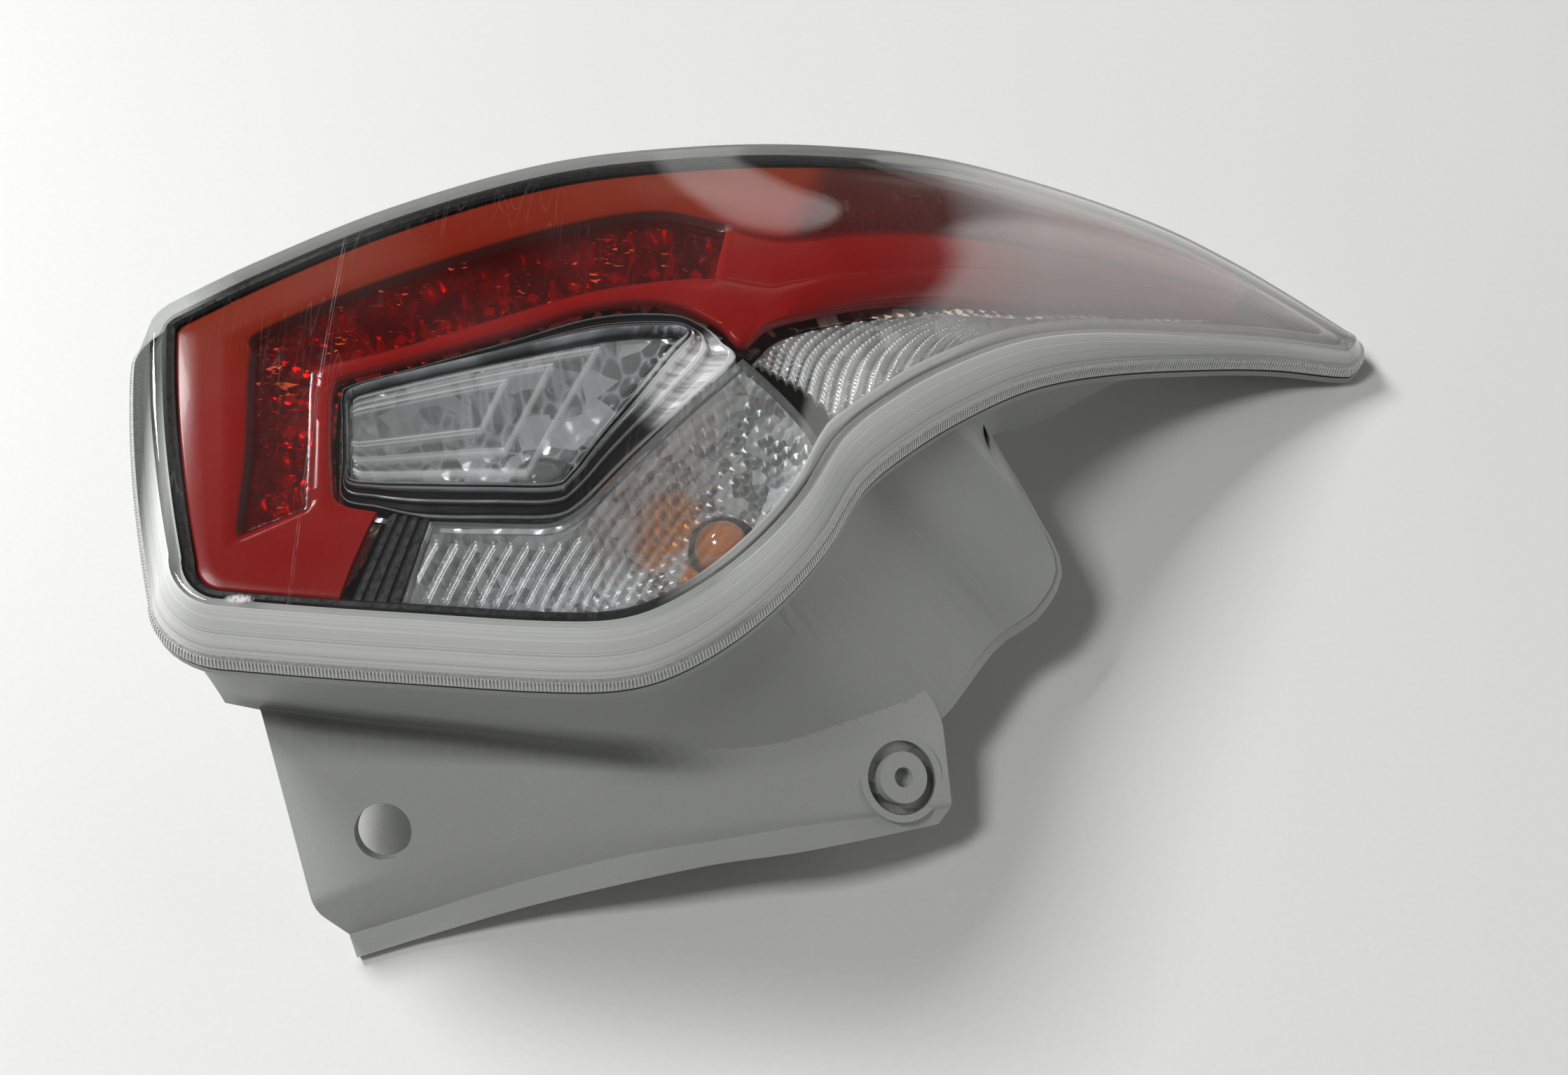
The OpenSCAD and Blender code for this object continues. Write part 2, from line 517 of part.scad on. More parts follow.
// Cups along the light guide channel: keys of their centres
cup_keys = concat([for (i = [0:cups_end - 1]) mix(1.06, 1.86, i / (cups_end - 1))],
                  [for (i = [0:cups_top - 1]) mix(2.05, 2.45, i / (cups_top - 1))]);
cup_half_end = 0.4 / (cups_end - 1);
cup_half_top = 0.2 / (cups_top - 1);
cup_floor = 0.5;
cup_edge = 0.92;
function cup_half(key) = key < 2 ? cup_half_end : cup_half_top;
led_last = 2.97;
led_keys = concat([[0, 0], [0.4, 0], [0.8, 0]],
                  [for (c = cup_keys) let (h = cup_half(c))
                      each [[c - cup_edge * h, 0], [c - cup_floor * h, 1], [c + cup_floor * h, 1],
                            [c + cup_edge * h, 0]]],
                  [for (key = [2.5, 2.54, 2.6, 2.67, 2.74, 2.82, 2.9, led_last]) [key, 0]]);
cup_slope = 3.5;
function led_row(key, m) =
    let (r = red_row(key, m), b = keyed_point(band_inner, key), c = keyed_point(band_outer, key))
    [r[0], b, toward(b, c, cup_slope), toward(c, b, cup_slope), c, r[6]];
function led_surface(more) = [for (k = led_keys) let (row = led_row(k[0], 0))
    [for (j = [0:5]) let (sunk = k[1] == 1 && (j == 2 || j == 3) ? cup_deep : 0)
        under(row[j], seat_depth(row[j].x) + sunk + more)]];
module led_reflector() {
    color([0.45, 0.1, 0.1]) centred()
    closed_shell(led_surface(0), [], led_surface(reflector_wall));
}

// Diode board behind the cups and one diode on the floor of each cup
board_keys = [for (c = cup_keys) let (h = cup_half(c)) each [c - cup_edge * h, c + cup_edge * h]];
function board_surface(more) = [for (key = board_keys) let (row = led_row(key, 0))
    [for (j = [1:4]) under(row[j], seat_depth(row[j].x) + cup_deep + reflector_wall + fit_gap + more)]];
module led_board() {
    color([0.1, 0.35, 0.15]) centred()
    closed_shell(board_surface(0), [], board_surface(board_thick));
}
function face_tilt(p) =
    [face_z(p.x - 0.5, p.y) - face_z(p.x + 0.5, p.y), face_z(p.x, p.y - 0.5) - face_z(p.x, p.y + 0.5), 1];
diode_high = 1.4;
module leds() {
    color([0.95, 0.9, 0.7]) centred()
    for (c = cup_keys) {
        row = led_row(c, 0);
        p = mix(row[2], row[3], 0.5);
        aim(under(p, seat_depth(p.x) + cup_deep - fit_gap), face_tilt(p))
            translate([0, 0, diode_high / 2]) cube([diode_side, diode_side, diode_high], center = true);
    }
}

// Patch between a near line and a far line, keyed 0 to 1
function patch_row(near, far, key, m, rows) =
    let (a = keyed_point(near, key), b = keyed_point(far, key), p = toward(a, b, m), q = toward(b, a, m))
    [for (j = [0:rows]) mix(p, q, j / rows)];
function patch(near, far, steps, rows, m, du) = [for (i = [0:steps])
    patch_row(near, far, mix(du, 1 - du, i / steps), m, rows)];

// Reverse light: inner lens with a raised centre, and its bowl with a broad rim under the trim
reverse_near = keyed([[0, 70, -60], [0.08, 74, -62], [0.5, 104, -62.5], [0.9, 133, -62.5], [1, 139, -59]]);
reverse_far = keyed([[0, 67.5, -31], [0.08, 71, -28.5], [0.5, 120, -14.5], [0.9, 160, -5], [1, 173, -4]]);
reverse_steps = 10;
reverse_rows = 6;
reverse_raise = 1.2;
leg_share = 0.012;
module reverse_inner_lens() {
    upper = patch(reverse_near, reverse_far, reverse_steps, reverse_rows, 0, 0);
    lower = patch(reverse_near, reverse_far, reverse_steps, reverse_rows, leg_wall, 2 * leg_share);
    function raised(i, j) =
        i > 1 && i < reverse_steps - 1 && j > 1 && j < reverse_rows - 1 ? reverse_raise : 0;
    function layer(g, more) = [for (i = [0:reverse_steps]) [for (j = [0:reverse_rows])
        under(g[i][j], red_depth(g[i][j].x) + reverse_raise + more - raised(i, j))]];
    function leg(g) = [for (p = rim_of(g)) under(p, seat_depth(p.x) - leg_gap)];
    color([0.9, 0.92, 0.92, 0.4]) centred()
    closed_shell(layer(upper, 0), [leg(upper), leg(lower)], layer(lower, clear_wall));
}
bulb_clear = 2;
// Depth of a bowl whose rim takes the given shares at its ends and at its near and far sides
function bowl_share(t, low, high) = sin(180 * clamp((t - low) / (high - low), 0, 1));
function bowl_depth(u, v, deep, span) =
    deep * min(1, 1.15 * sqrt(bowl_share(u, span[0], span[1]) * bowl_share(v, span[2], span[3])));
module bowl(near, far, steps, rows, deep, span, at) {
    g = patch(near, far, steps, rows, 0, 0);
    function layer(more) = [for (i = [0:steps]) [for (j = [0:rows])
        under(g[i][j], seat_depth(g[i][j].x) + bowl_depth(i / steps, j / rows, deep, span) + more)]];
    difference() {
        closed_shell(layer(0), [], layer(reflector_wall));
        translate([at.x, at.y, 0]) cylinder(h = lens_high, d = bulb_d + 2 * bulb_clear);
    }
}
reverse_rim_near = keyed([[0, 65.4, -66.5], [0.06, 68, -71], [0.15, 80, -74.3], [0.35, 97, -77.5],
                          [0.65, 124, -78.4], [0.9, 137.5, -77.7], [1, 145.3, -72.5]]);
reverse_rim_far = keyed([[0, 62.6, -28.5], [0.04, 65.3, -25], [0.25, 85, -18.5], [0.5, 118, -7],
                         [0.7, 147, 4.4], [0.85, 170, 7.2], [0.95, 186, 0.2], [1, 196, -11.5]]);
reverse_span = [0.05, 0.88, 0.24, 0.88];
module reverse_reflector() {
    color([0.8, 0.81, 0.82]) centred()
    bowl(reverse_rim_near, reverse_rim_far, 16, 10, reverse_deep, reverse_span, reverse_at);
}

// Indicator: the patch runs from the slanted left end round the bend to the side reflector
side_gap = 6.5;
indicator_from = 90 * stretch.x;
indicator_to = 222 * stretch.x;
function inset_line(from, to, steps) = [for (i = [0:steps])
    let (p = near_inset(mix(from, to, i / steps), side_gap)) [i / steps, p.x, p.y]];
indicator_near = inset_line(indicator_from, indicator_to, 10);
indicator_far = keyed([[0, 97, -78], [0.15, 110, -78.5], [0.3, 126, -79], [0.4, 137, -78.5],
                       [0.5, 146, -73], [0.6, 154, -63.5], [0.7, 163, -52.5], [0.85, 180, -32.5],
                       [1, 197, -13]]);
flute_steps = 48;
module indicator_inner_lens() {
    function layer(m, du, more) = let (g = patch(indicator_near, indicator_far, flute_steps, 3, m, du))
        [for (i = [0:flute_steps]) [for (j = [0:3])
            under(g[i][j], red_depth(g[i][j].x) + (i % 2) * flute_deep * (j > 0 && j < 3 ? 1 : 0) + more)]];
    function leg(g) = [for (p = rim_of(g)) under(p, seat_depth(p.x) - leg_gap)];
    upper = layer(0, 0, 0);
    lower = layer(leg_wall, leg_share, flute_deep + clear_wall);
    color([0.9, 0.9, 0.88, 0.4]) centred()
    closed_shell(upper, [leg(upper), leg(lower)], lower);
}
module indicator_reflector() {
    color([0.8, 0.81, 0.82]) centred()
    bowl(indicator_near, indicator_far, 18, 7, indicator_deep, [0, 1, 0, 1], indicator_at);
}

// Fluted reflector along the side of the lamp
side_from = 231 * stretch.x;
side_to = 330 * stretch.x;
side_near = inset_line(side_from, side_to, 8);
side_far = keyed([[0, 200, -10], [0.1, 207, -0.5], [0.2, 217, 6], [0.35, 237, 16.5], [0.5, 258, 25.5],
                  [0.7, 286, 36.5], [0.85, 306, 44.5], [1, 327, 52.5]]);
side_steps = 30;
module side_reflector() {
    function layer(more) = let (g = patch(side_near, side_far, side_steps, 4, 0, 0))
        [for (i = [0:side_steps]) [for (j = [0:4])
            under(g[i][j], seat_depth(g[i][j].x) - (i % 2) * side_flute * (j > 0 && j < 4 ? 1 : 0) + more)]];
    color([0.85, 0.86, 0.87]) centred()
    closed_shell(layer(0), [], layer(reflector_wall));
}

// Chrome trim between the reverse light, the red lens and the indicator: outer and inner line
trim_rows = [for (r = [[96, -76, 90, -64], [120, -76.5, 115, -64.5], [137, -76, 136, -64.5],
                       [146, -70.5, 142, -60], [159, -55, 150, -47], [177, -34, 161, -30],
                       [194, -13, 172, -12], [190, -6, 178, -4.5],
                       [184, 0, 177, -2], [172, 5, 172, -1.5], [147, 2.5, 150, -4], [118, -8.5, 120, -12.5],
                       [88, -19, 90, -21], [67, -26, 70, -27.5], [64, -30, 66, -31.5], [65, -40, 67, -41],
                       [66.5, -55, 68.5, -55], [68, -69, 69.5, -62.5], [80, -72.5, 78, -64]])
    [place_plan([r[0], r[1]]), place_plan([r[2], r[3]])]];
module chrome_trim() {
    outer_line = [for (r = trim_rows) r[0]];
    inner_line = [for (r = trim_rows) r[1]];
    function ring(line, share) =
        [for (p = line) under(p, mix(red_depth(p.x), seat_depth(p.x) - fit_gap, share))];
    color([0.6, 0.6, 0.62]) centred()
    closed_ring([ring(inner_line, 0.1), ring(outer_line, 0.4), ring(outer_line, 1), ring(inner_line, 1)]);
}

// Bulbs, their holders through the back of the housing, and the seals of the holders
module bulb_glass(at, high) {
    translate([at.x, at.y, high]) {
        cylinder(h = bulb_long - bulb_d / 2, d = bulb_d);
        translate([0, 0, bulb_long - bulb_d / 2]) sphere(d = bulb_d);
    }
}
cap_long = 18;
seal_ring = 1.6;
shaft_gap = 0.25;
holder_top = socket_top - 2;
glass_from = holder_top + 2 * fit_gap + cap_long;
module bulb_cap(at) {
    translate([at.x, at.y, holder_top + fit_gap]) cylinder(h = cap_long, d = cap_d);
}
module holder(at) {
    grip_thick = 4;
    grip_top = holder_seat - seal_ring;
    translate([at.x, at.y, 0]) {
        translate([0, 0, grip_top - grip_thick]) cylinder(h = grip_thick, d = grip_d);
        translate([0, 0, grip_top - holder_long]) cylinder(h = holder_long - grip_thick, d = 0.7 * grip_d);
        translate([0, 0, grip_top]) cylinder(h = holder_top - grip_top, d = holder_d - 2 * shaft_gap);
    }
}
module reverse_bulb_glass() { color([0.95, 0.95, 0.95, 0.4]) centred() bulb_glass(reverse_at, glass_from); }
module indicator_bulb_glass() {
    color([0.95, 0.5, 0.05, 0.6]) centred() bulb_glass(indicator_at, glass_from);
}
module reverse_bulb_cap() { color([0.8, 0.8, 0.75]) centred() bulb_cap(reverse_at); }
module indicator_bulb_cap() { color([0.8, 0.8, 0.75]) centred() bulb_cap(indicator_at); }
module reverse_holder() { color([0.2, 0.2, 0.2]) centred() holder(reverse_at); }
module indicator_holder() { color([0.2, 0.2, 0.2]) centred() holder(indicator_at); }

module holder_seals() {
    color([0.08, 0.08, 0.08]) centred()
    for (p = bulb_spots) translate([p.x, p.y, holder_seat - seal_ring]) difference() {
        cylinder(h = seal_ring, d = holder_d + 2 * socket_wall);
        translate([0, 0, -1]) cylinder(h = seal_ring + 2, d = holder_d);
    }
}

// Rubber caps on the breather stubs of the housing
module breather_caps() {
    bore_long = 4;
    color([0.08, 0.08, 0.08]) centred()
    for (p = vent_spots) translate(p - [0, 0, vent_wall]) difference() {
        cylinder(h = bore_long + vent_wall, d = vent_d);
        translate([0, 0, vent_wall]) cylinder(h = bore_long + 1, d = vent_d - 2 * vent_wall + fit_gap);
    }
}

// Locating pins pressed into the back of the housing, on which the lamp rests
module locating_pins() {
    nose = 6;
    nose_d = 0.6 * pin_d;
    color([0.85, 0.85, 0.82]) centred()
    for (p = pin_spots) translate([p.x, p.y, 0]) {
        cylinder(h = nose, d1 = nose_d, d2 = pin_d);
        translate([0, 0, nose]) cylinder(h = p.z - nose, d = pin_d);
        translate([0, 0, p.z]) cylinder(h = spigot_long, d = spigot_d);
    }
}

housing();
outer_lens();
sealing_bead();
frame();
red_inner_lens();
led_reflector();
led_board();
leds();
reverse_inner_lens();
reverse_reflector();
chrome_trim();
indicator_inner_lens();
indicator_reflector();
side_reflector();
reverse_bulb_glass();
reverse_bulb_cap();
reverse_holder();
indicator_bulb_glass();
indicator_bulb_cap();
indicator_holder();
holder_seals();
breather_caps();
locating_pins();
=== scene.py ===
"""Wrap-round tail light cluster, dressed: smooth lenses, reflectors, bezel and housing over the solids."""
import math

import bpy
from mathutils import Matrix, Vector


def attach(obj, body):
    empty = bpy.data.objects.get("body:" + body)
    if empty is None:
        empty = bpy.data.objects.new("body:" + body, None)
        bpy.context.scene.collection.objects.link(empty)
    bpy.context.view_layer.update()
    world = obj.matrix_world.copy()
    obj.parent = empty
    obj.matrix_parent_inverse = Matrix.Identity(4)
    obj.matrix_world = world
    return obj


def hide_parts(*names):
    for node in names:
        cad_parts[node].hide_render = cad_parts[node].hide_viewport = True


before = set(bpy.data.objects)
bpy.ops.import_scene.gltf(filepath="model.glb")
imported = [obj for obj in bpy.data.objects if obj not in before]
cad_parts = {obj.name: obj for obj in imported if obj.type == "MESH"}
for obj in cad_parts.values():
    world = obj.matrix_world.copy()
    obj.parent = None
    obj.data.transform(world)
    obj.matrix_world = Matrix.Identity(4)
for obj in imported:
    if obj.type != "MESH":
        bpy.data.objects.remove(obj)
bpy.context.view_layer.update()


def placed(name, data):
    """An object of the scene that shows a mesh, a lamp or a camera."""
    obj = bpy.data.objects.new(name, data)
    bpy.context.scene.collection.objects.link(obj)
    return obj


# Camera at the photograph's viewing angle
camera = placed("camera", bpy.data.cameras.new("camera"))
camera.location = (-0.0056, -0.4249, 0.7172)
camera.rotation_euler = (math.radians(32), 0, 0)
camera.data.lens = 50
camera.data.sensor_width = 36
camera.data.clip_start = 0.05
bpy.context.scene.camera = camera

# Sizes shared with the solids, in millimetres
LENS_LEN = 436
LENS_WALL = 3
LENS_GAP = 2.5
RED_WALL = 2.5
CLEAR_WALL = 2.2
SEAT_GAP = 6.5
REFLECTOR_WALL = 1.8
SKIRT_DROP = 28
TIP_DROP = 12
SKIRT_FLARE = 9.5
END_FLARE = 5
EDGE_ROUND = 3
FOOT_BAND = 5
FOOT_WIDE = 4
FRAME_WALL = 1.6
HOUSING_WALL = 2.5
RIM_WIDE = 7.5
RIM_THICK = 3
SEAL_THICK = 1.2
MIDDLE = (216.5, -28.5)


def metres(p):
    """A point of the lamp in millimetres, from the blunt end's far corner, in the frame of the solids."""
    return Vector(((p[0] - MIDDLE[0]) / 1000, (p[1] - MIDDLE[1]) / 1000, p[2] / 1000))


def mix(a, b, t):
    if isinstance(a, (int, float)):
        return a * (1 - t) + b * t
    return tuple(u * (1 - t) + v * t for u, v in zip(a, b))


def clamp(v, low=0.0, high=1.0):
    return max(low, min(high, v))


def smooth(v, low, high):
    t = clamp((v - low) / (high - low))
    return t * t * (3 - 2 * t)


def plus(a, b, k=1.0):
    return tuple(u + v * k for u, v in zip(a, b))


def toward(a, b, m):
    d = math.dist(a, b)
    return tuple(u + (v - u) * m / d for u, v in zip(a, b))


def along(rows, x, c):
    """Smooth curve through rows sorted by their first value."""
    last = len(rows) - 1

    def lean(i):
        a, b = max(i - 1, 0), min(i + 1, last)
        return (rows[b][c] - rows[a][c]) / (rows[b][0] - rows[a][0])

    if x <= rows[0][0]:
        return rows[0][c] + lean(0) * (x - rows[0][0])
    if x >= rows[last][0]:
        return rows[last][c] + lean(last) * (x - rows[last][0])
    i = 0
    while i < last - 1 and x >= rows[i + 1][0]:
        i += 1
    h = rows[i + 1][0] - rows[i][0]
    u = (x - rows[i][0]) / h
    m0, m1 = lean(i) * h, lean(i + 1) * h
    return ((2 * u ** 3 - 3 * u ** 2 + 1) * rows[i][c] + (u ** 3 - 2 * u ** 2 + u) * m0
            + (-2 * u ** 3 + 3 * u ** 2) * rows[i + 1][c] + (u ** 3 - u ** 2) * m1)


def keyed(rows, key):
    return tuple(along(rows, key, c) for c in range(1, len(rows[0])))


# Edges of the lens face: x, y and z
NEAR_EDGE = [(0, -104, 128), (45, -109, 128), (95, -113, 128), (145, -116, 128), (165, -113, 127),
             (184, -102, 126), (202, -84, 123), (217, -62, 119), (230, -35, 114), (250, -11, 106),
             (272, 9, 97), (298, 29, 84), (326, 44, 69), (370, 60, 46), (404, 69, 31), (436, 74, 18)]
FAR_EDGE = [(0, 0, 135), (30, 20, 135), (75, 44, 136), (128, 66, 134), (176, 79, 128), (220, 90, 117),
            (268, 102, 97), (315, 110, 71), (360, 111, 47), (392, 104, 32), (419, 92, 22), (436, 82, 17)]
CROWN = [(0, 4), (100, 6), (200, 10), (280, 16), (360, 13), (420, 5), (436, 3)]
# Shares of the side wall's lean and drop along the lamp
SKIRT_SHAPE = [(0, 1, 1), (240, 1, 0.95), (300, 0.85, 0.72), (360, 0.6, 0.4), (404, 0.55, 0.18),
               (436, 0.7, 0)]
END_SLANT = 18
END_BOW = 1.6
NEAR_CORNER = 14
FAR_CORNER = 5
TIP_BOW = 2.5
TIP_TAPER = 2.2


def near_y(x):
    return along(NEAR_EDGE, x, 1)


def far_y(x):
    return along(FAR_EDGE, x, 1)


def hyp(edge, x):
    return math.hypot(1, along(edge, x + 0.5, 1) - along(edge, x - 0.5, 1))


def face_z(x, y):
    a, b = near_y(x), far_y(x)
    t = clamp((y - a) / (b - a), -0.2, 1.2)
    return mix(along(NEAR_EDGE, x, 2), along(FAR_EDGE, x, 2), t) + along(CROWN, x, 1) * 4 * t * (1 - t)


def steepness(x, y):
    dx = face_z(x + 0.5, y) - face_z(x - 0.5, y)
    dy = face_z(x, y + 0.5) - face_z(x, y - 0.5)
    return min(1.7, math.sqrt(1 + dx * dx + dy * dy))


def under(p, d):
    return (p[0], p[1], face_z(p[0], p[1]) - d * steepness(p[0], p[1]))


def drop_at(x):
    return mix(TIP_DROP, SKIRT_DROP, along(SKIRT_SHAPE, x, 2))


def thinning(x):
    return (drop_at(x) / SKIRT_DROP) ** 2


def flare_at(x, nx):
    return SKIRT_FLARE * along(SKIRT_SHAPE, x, 1) + END_FLARE * max(0, -nx) ** 2


def red_depth(x):
    return LENS_WALL + LENS_GAP * thinning(x)


def seat_depth(x):
    return red_depth(x) + RED_WALL + SEAT_GAP * thinning(x)


def rounding(dx, r):
    return 0 if dx >= r else r - math.sqrt(max(0, r * r - (r - dx) ** 2))


def near_point(w, m):
    x = mix(END_SLANT + m, LENS_LEN - TIP_TAPER * m, w)
    r = max(NEAR_CORNER - m, 2)
    return (x, near_y(x) + m * hyp(NEAR_EDGE, x) + rounding(x - END_SLANT - m, r))


def far_point(w, m):
    x = mix(m, LENS_LEN - TIP_TAPER * m, w)
    r = max(FAR_CORNER - m, 2)
    return (x, far_y(x) - m * hyp(FAR_EDGE, x) - rounding(x - m, r))


def near_inset(x, m):
    return (x, near_y(x) + m * hyp(NEAR_EDGE, x))


STATIONS = ([NEAR_CORNER * (1 - math.cos(math.radians(9 * i))) for i in range(11)]
            + [17 + 3.5 * i for i in range(118)] + [430, 433, 436])


def face_grid(m, rows):
    grid = []
    for s in STATIONS:
        w = s / LENS_LEN
        a, b = near_point(w, m), far_point(w, m)
        line = []
        for j in range(rows):
            t = j / (rows - 1)
            bulge = 4 * t * (1 - t)
            line.append(plus(mix(a, b, t), (TIP_BOW * bulge * w ** 12 - END_BOW * bulge * (1 - w) ** 12, 0)))
        grid.append(line)
    return grid


def rim_places(n, m):
    """Rows and columns of a grid's edge in turn: along its near side, over the tip and back."""
    return ([(i, 0) for i in range(n)] + [(n - 1, j) for j in range(1, m)]
            + [(i, m - 1) for i in range(n - 2, -1, -1)] + [(0, j) for j in range(m - 2, 0, -1)])


def rim_of(grid):
    return [grid[i][j] for i, j in rim_places(len(grid), len(grid[0]))]


def outward(loop):
    """Unit normals of a plan loop, evened out a little at its corners."""
    n = len(loop)
    normals = []
    for k in range(n):
        a, b = loop[k - 1], loop[(k + 1) % n]
        d = math.hypot(b[0] - a[0], b[1] - a[1])
        normals.append(((b[1] - a[1]) / d, (a[0] - b[0]) / d))
    for _ in range(4):
        evened = []
        for k in range(n):
            sx = sum(normals[(k + i) % n][0] for i in (-1, 0, 1))
            sy = sum(normals[(k + i) % n][1] for i in (-1, 0, 1))
            d = math.hypot(sx, sy)
            evened.append((sx / d, sy / d))
        normals = evened
    return normals


FACE_ROWS = 25
FACE_RIM = rim_of(face_grid(0, FACE_ROWS))
FACE_OUT = outward(FACE_RIM)


def outer_ring(share, extra, drop_share, more=0.0, loop=FACE_RIM, out=FACE_OUT):
    """Ring outside the face edge at a share of the side wall's lean, and below it by a share of its drop."""
    ring = []
    for p, n in zip(loop, out):
        o = flare_at(p[0], n[0]) * share + extra
        z = face_z(p[0], p[1]) - drop_at(p[0]) * drop_share - more
        ring.append((p[0] + n[0] * o, p[1] + n[1] * o, z))
    return ring


def grid_under(grid, d):
    return [[under(p, d) for p in line] for line in grid]


# Making of meshes
def mesh_object(name, points, faces, slots=None, sharp=35, marks=None):
    """A mesh object from points in metres, with each face's material number and each point's numbers."""
    mesh = bpy.data.meshes.new(name)
    mesh.from_pydata(points, [], faces)
    if slots:
        mesh.polygons.foreach_set("material_index", slots)
    for key, values in (marks or {}).items():
        mesh.attributes.new(key, "FLOAT", "POINT").data.foreach_set("value", values)
    mesh.polygons.foreach_set("use_smooth", [True] * len(mesh.polygons))
    mesh.set_sharp_from_angle(angle=math.radians(sharp))
    return placed(name, mesh)


def piece(name, points, faces, slots=None, sharp=35, marks=None):
    """The same from points in millimetres."""
    return mesh_object(name, [metres(p) for p in points], faces, slots, sharp, marks)


def shell_parts(upper, rings, lower):
    """Points and faces of a closed shell: an upper grid, rings from its edge down and round, a lower grid.

    The third list says where each face lies: 0 in the upper grid, then one more for each band.
    """
    n, m = len(upper), len(upper[0])
    edge = [i * m + j for i, j in rim_places(n, m)]
    count = len(edge)
    first_lower = n * m + len(rings) * count
    loops = [edge] + [range(n * m + r * count, n * m + (r + 1) * count) for r in range(len(rings))]
    loops.append([first_lower + k for k in edge])
    corners = [i * m + j for i in range(n - 1) for j in range(m - 1)]
    faces = [(a, a + m, a + m + 1, a + 1) for a in corners]
    band = [0] * len(corners)
    for r, (high, low) in enumerate(zip(loops, loops[1:])):
        faces += [(high[k - 1], low[k - 1], low[k], high[k]) for k in [*range(1, count), 0]]
        band += [r + 1] * count
    corners = [first_lower + a for a in corners]
    faces += [(a, a + 1, a + m + 1, a + m) for a in corners]
    band += [len(loops)] * len(corners)
    return [p for line in (*upper, *rings, *lower) for p in line], faces, band


def ring_parts(rings):
    """Points and faces of a closed ring whose section runs through the given rings."""
    count, total = len(rings[0]), len(rings)
    faces = []
    for r in range(total):
        for k in range(count):
            k1, r1 = (k + 1) % count, (r + 1) % total
            faces.append((r * count + k, r1 * count + k, r1 * count + k1, r * count + k1))
    return [p for ring in rings for p in ring], faces


def dressed(obj, node, slot, *finishes):
    """Gives a piece its finishes, hides the node that it stands for and hangs it on the body that it rides
    on. slot is not used.
    """
    for finish in finishes:
        obj.data.materials.append(finish)
    if node:
        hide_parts(node)
    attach(obj, "root")


def applied(obj):
    """The object with its modifiers made part of its mesh."""
    deps = bpy.context.evaluated_depsgraph_get()
    mesh = bpy.data.meshes.new_from_object(obj.evaluated_get(deps), preserve_all_data_layers=True,
                                           depsgraph=deps)
    obj.modifiers.clear()
    obj.data = mesh
    return obj


# Finishes. Sums of sockets are written as plain expressions.
class Value:
    def __init__(self, finish, socket):
        self.finish = finish
        self.socket = socket

    def maths(self, operation, *others):
        return self.finish.node("ShaderNodeMath", {"operation": operation}, dict(enumerate((self, *others))))

    def __add__(self, other):
        return self.maths("ADD", other)

    __radd__ = __add__

    def __sub__(self, other):
        return self.maths("SUBTRACT", other)

    def __rsub__(self, other):
        return self.finish.node("ShaderNodeMath", {"operation": "SUBTRACT"}, {0: other, 1: self})

    def __mul__(self, other):
        return self.maths("MULTIPLY", other)

    __rmul__ = __mul__

    def __truediv__(self, other):
        return self.maths("DIVIDE", other)

    def __pow__(self, other):
        return self.maths("POWER", other)

    def __abs__(self):
        return self.maths("ABSOLUTE")

    def at_least(self, other):
        return self.maths("MAXIMUM", other)

    def at_most(self, other):
        return self.maths("MINIMUM", other)


def opaque(colour):
    return (*colour, 1) if isinstance(colour, tuple) else colour


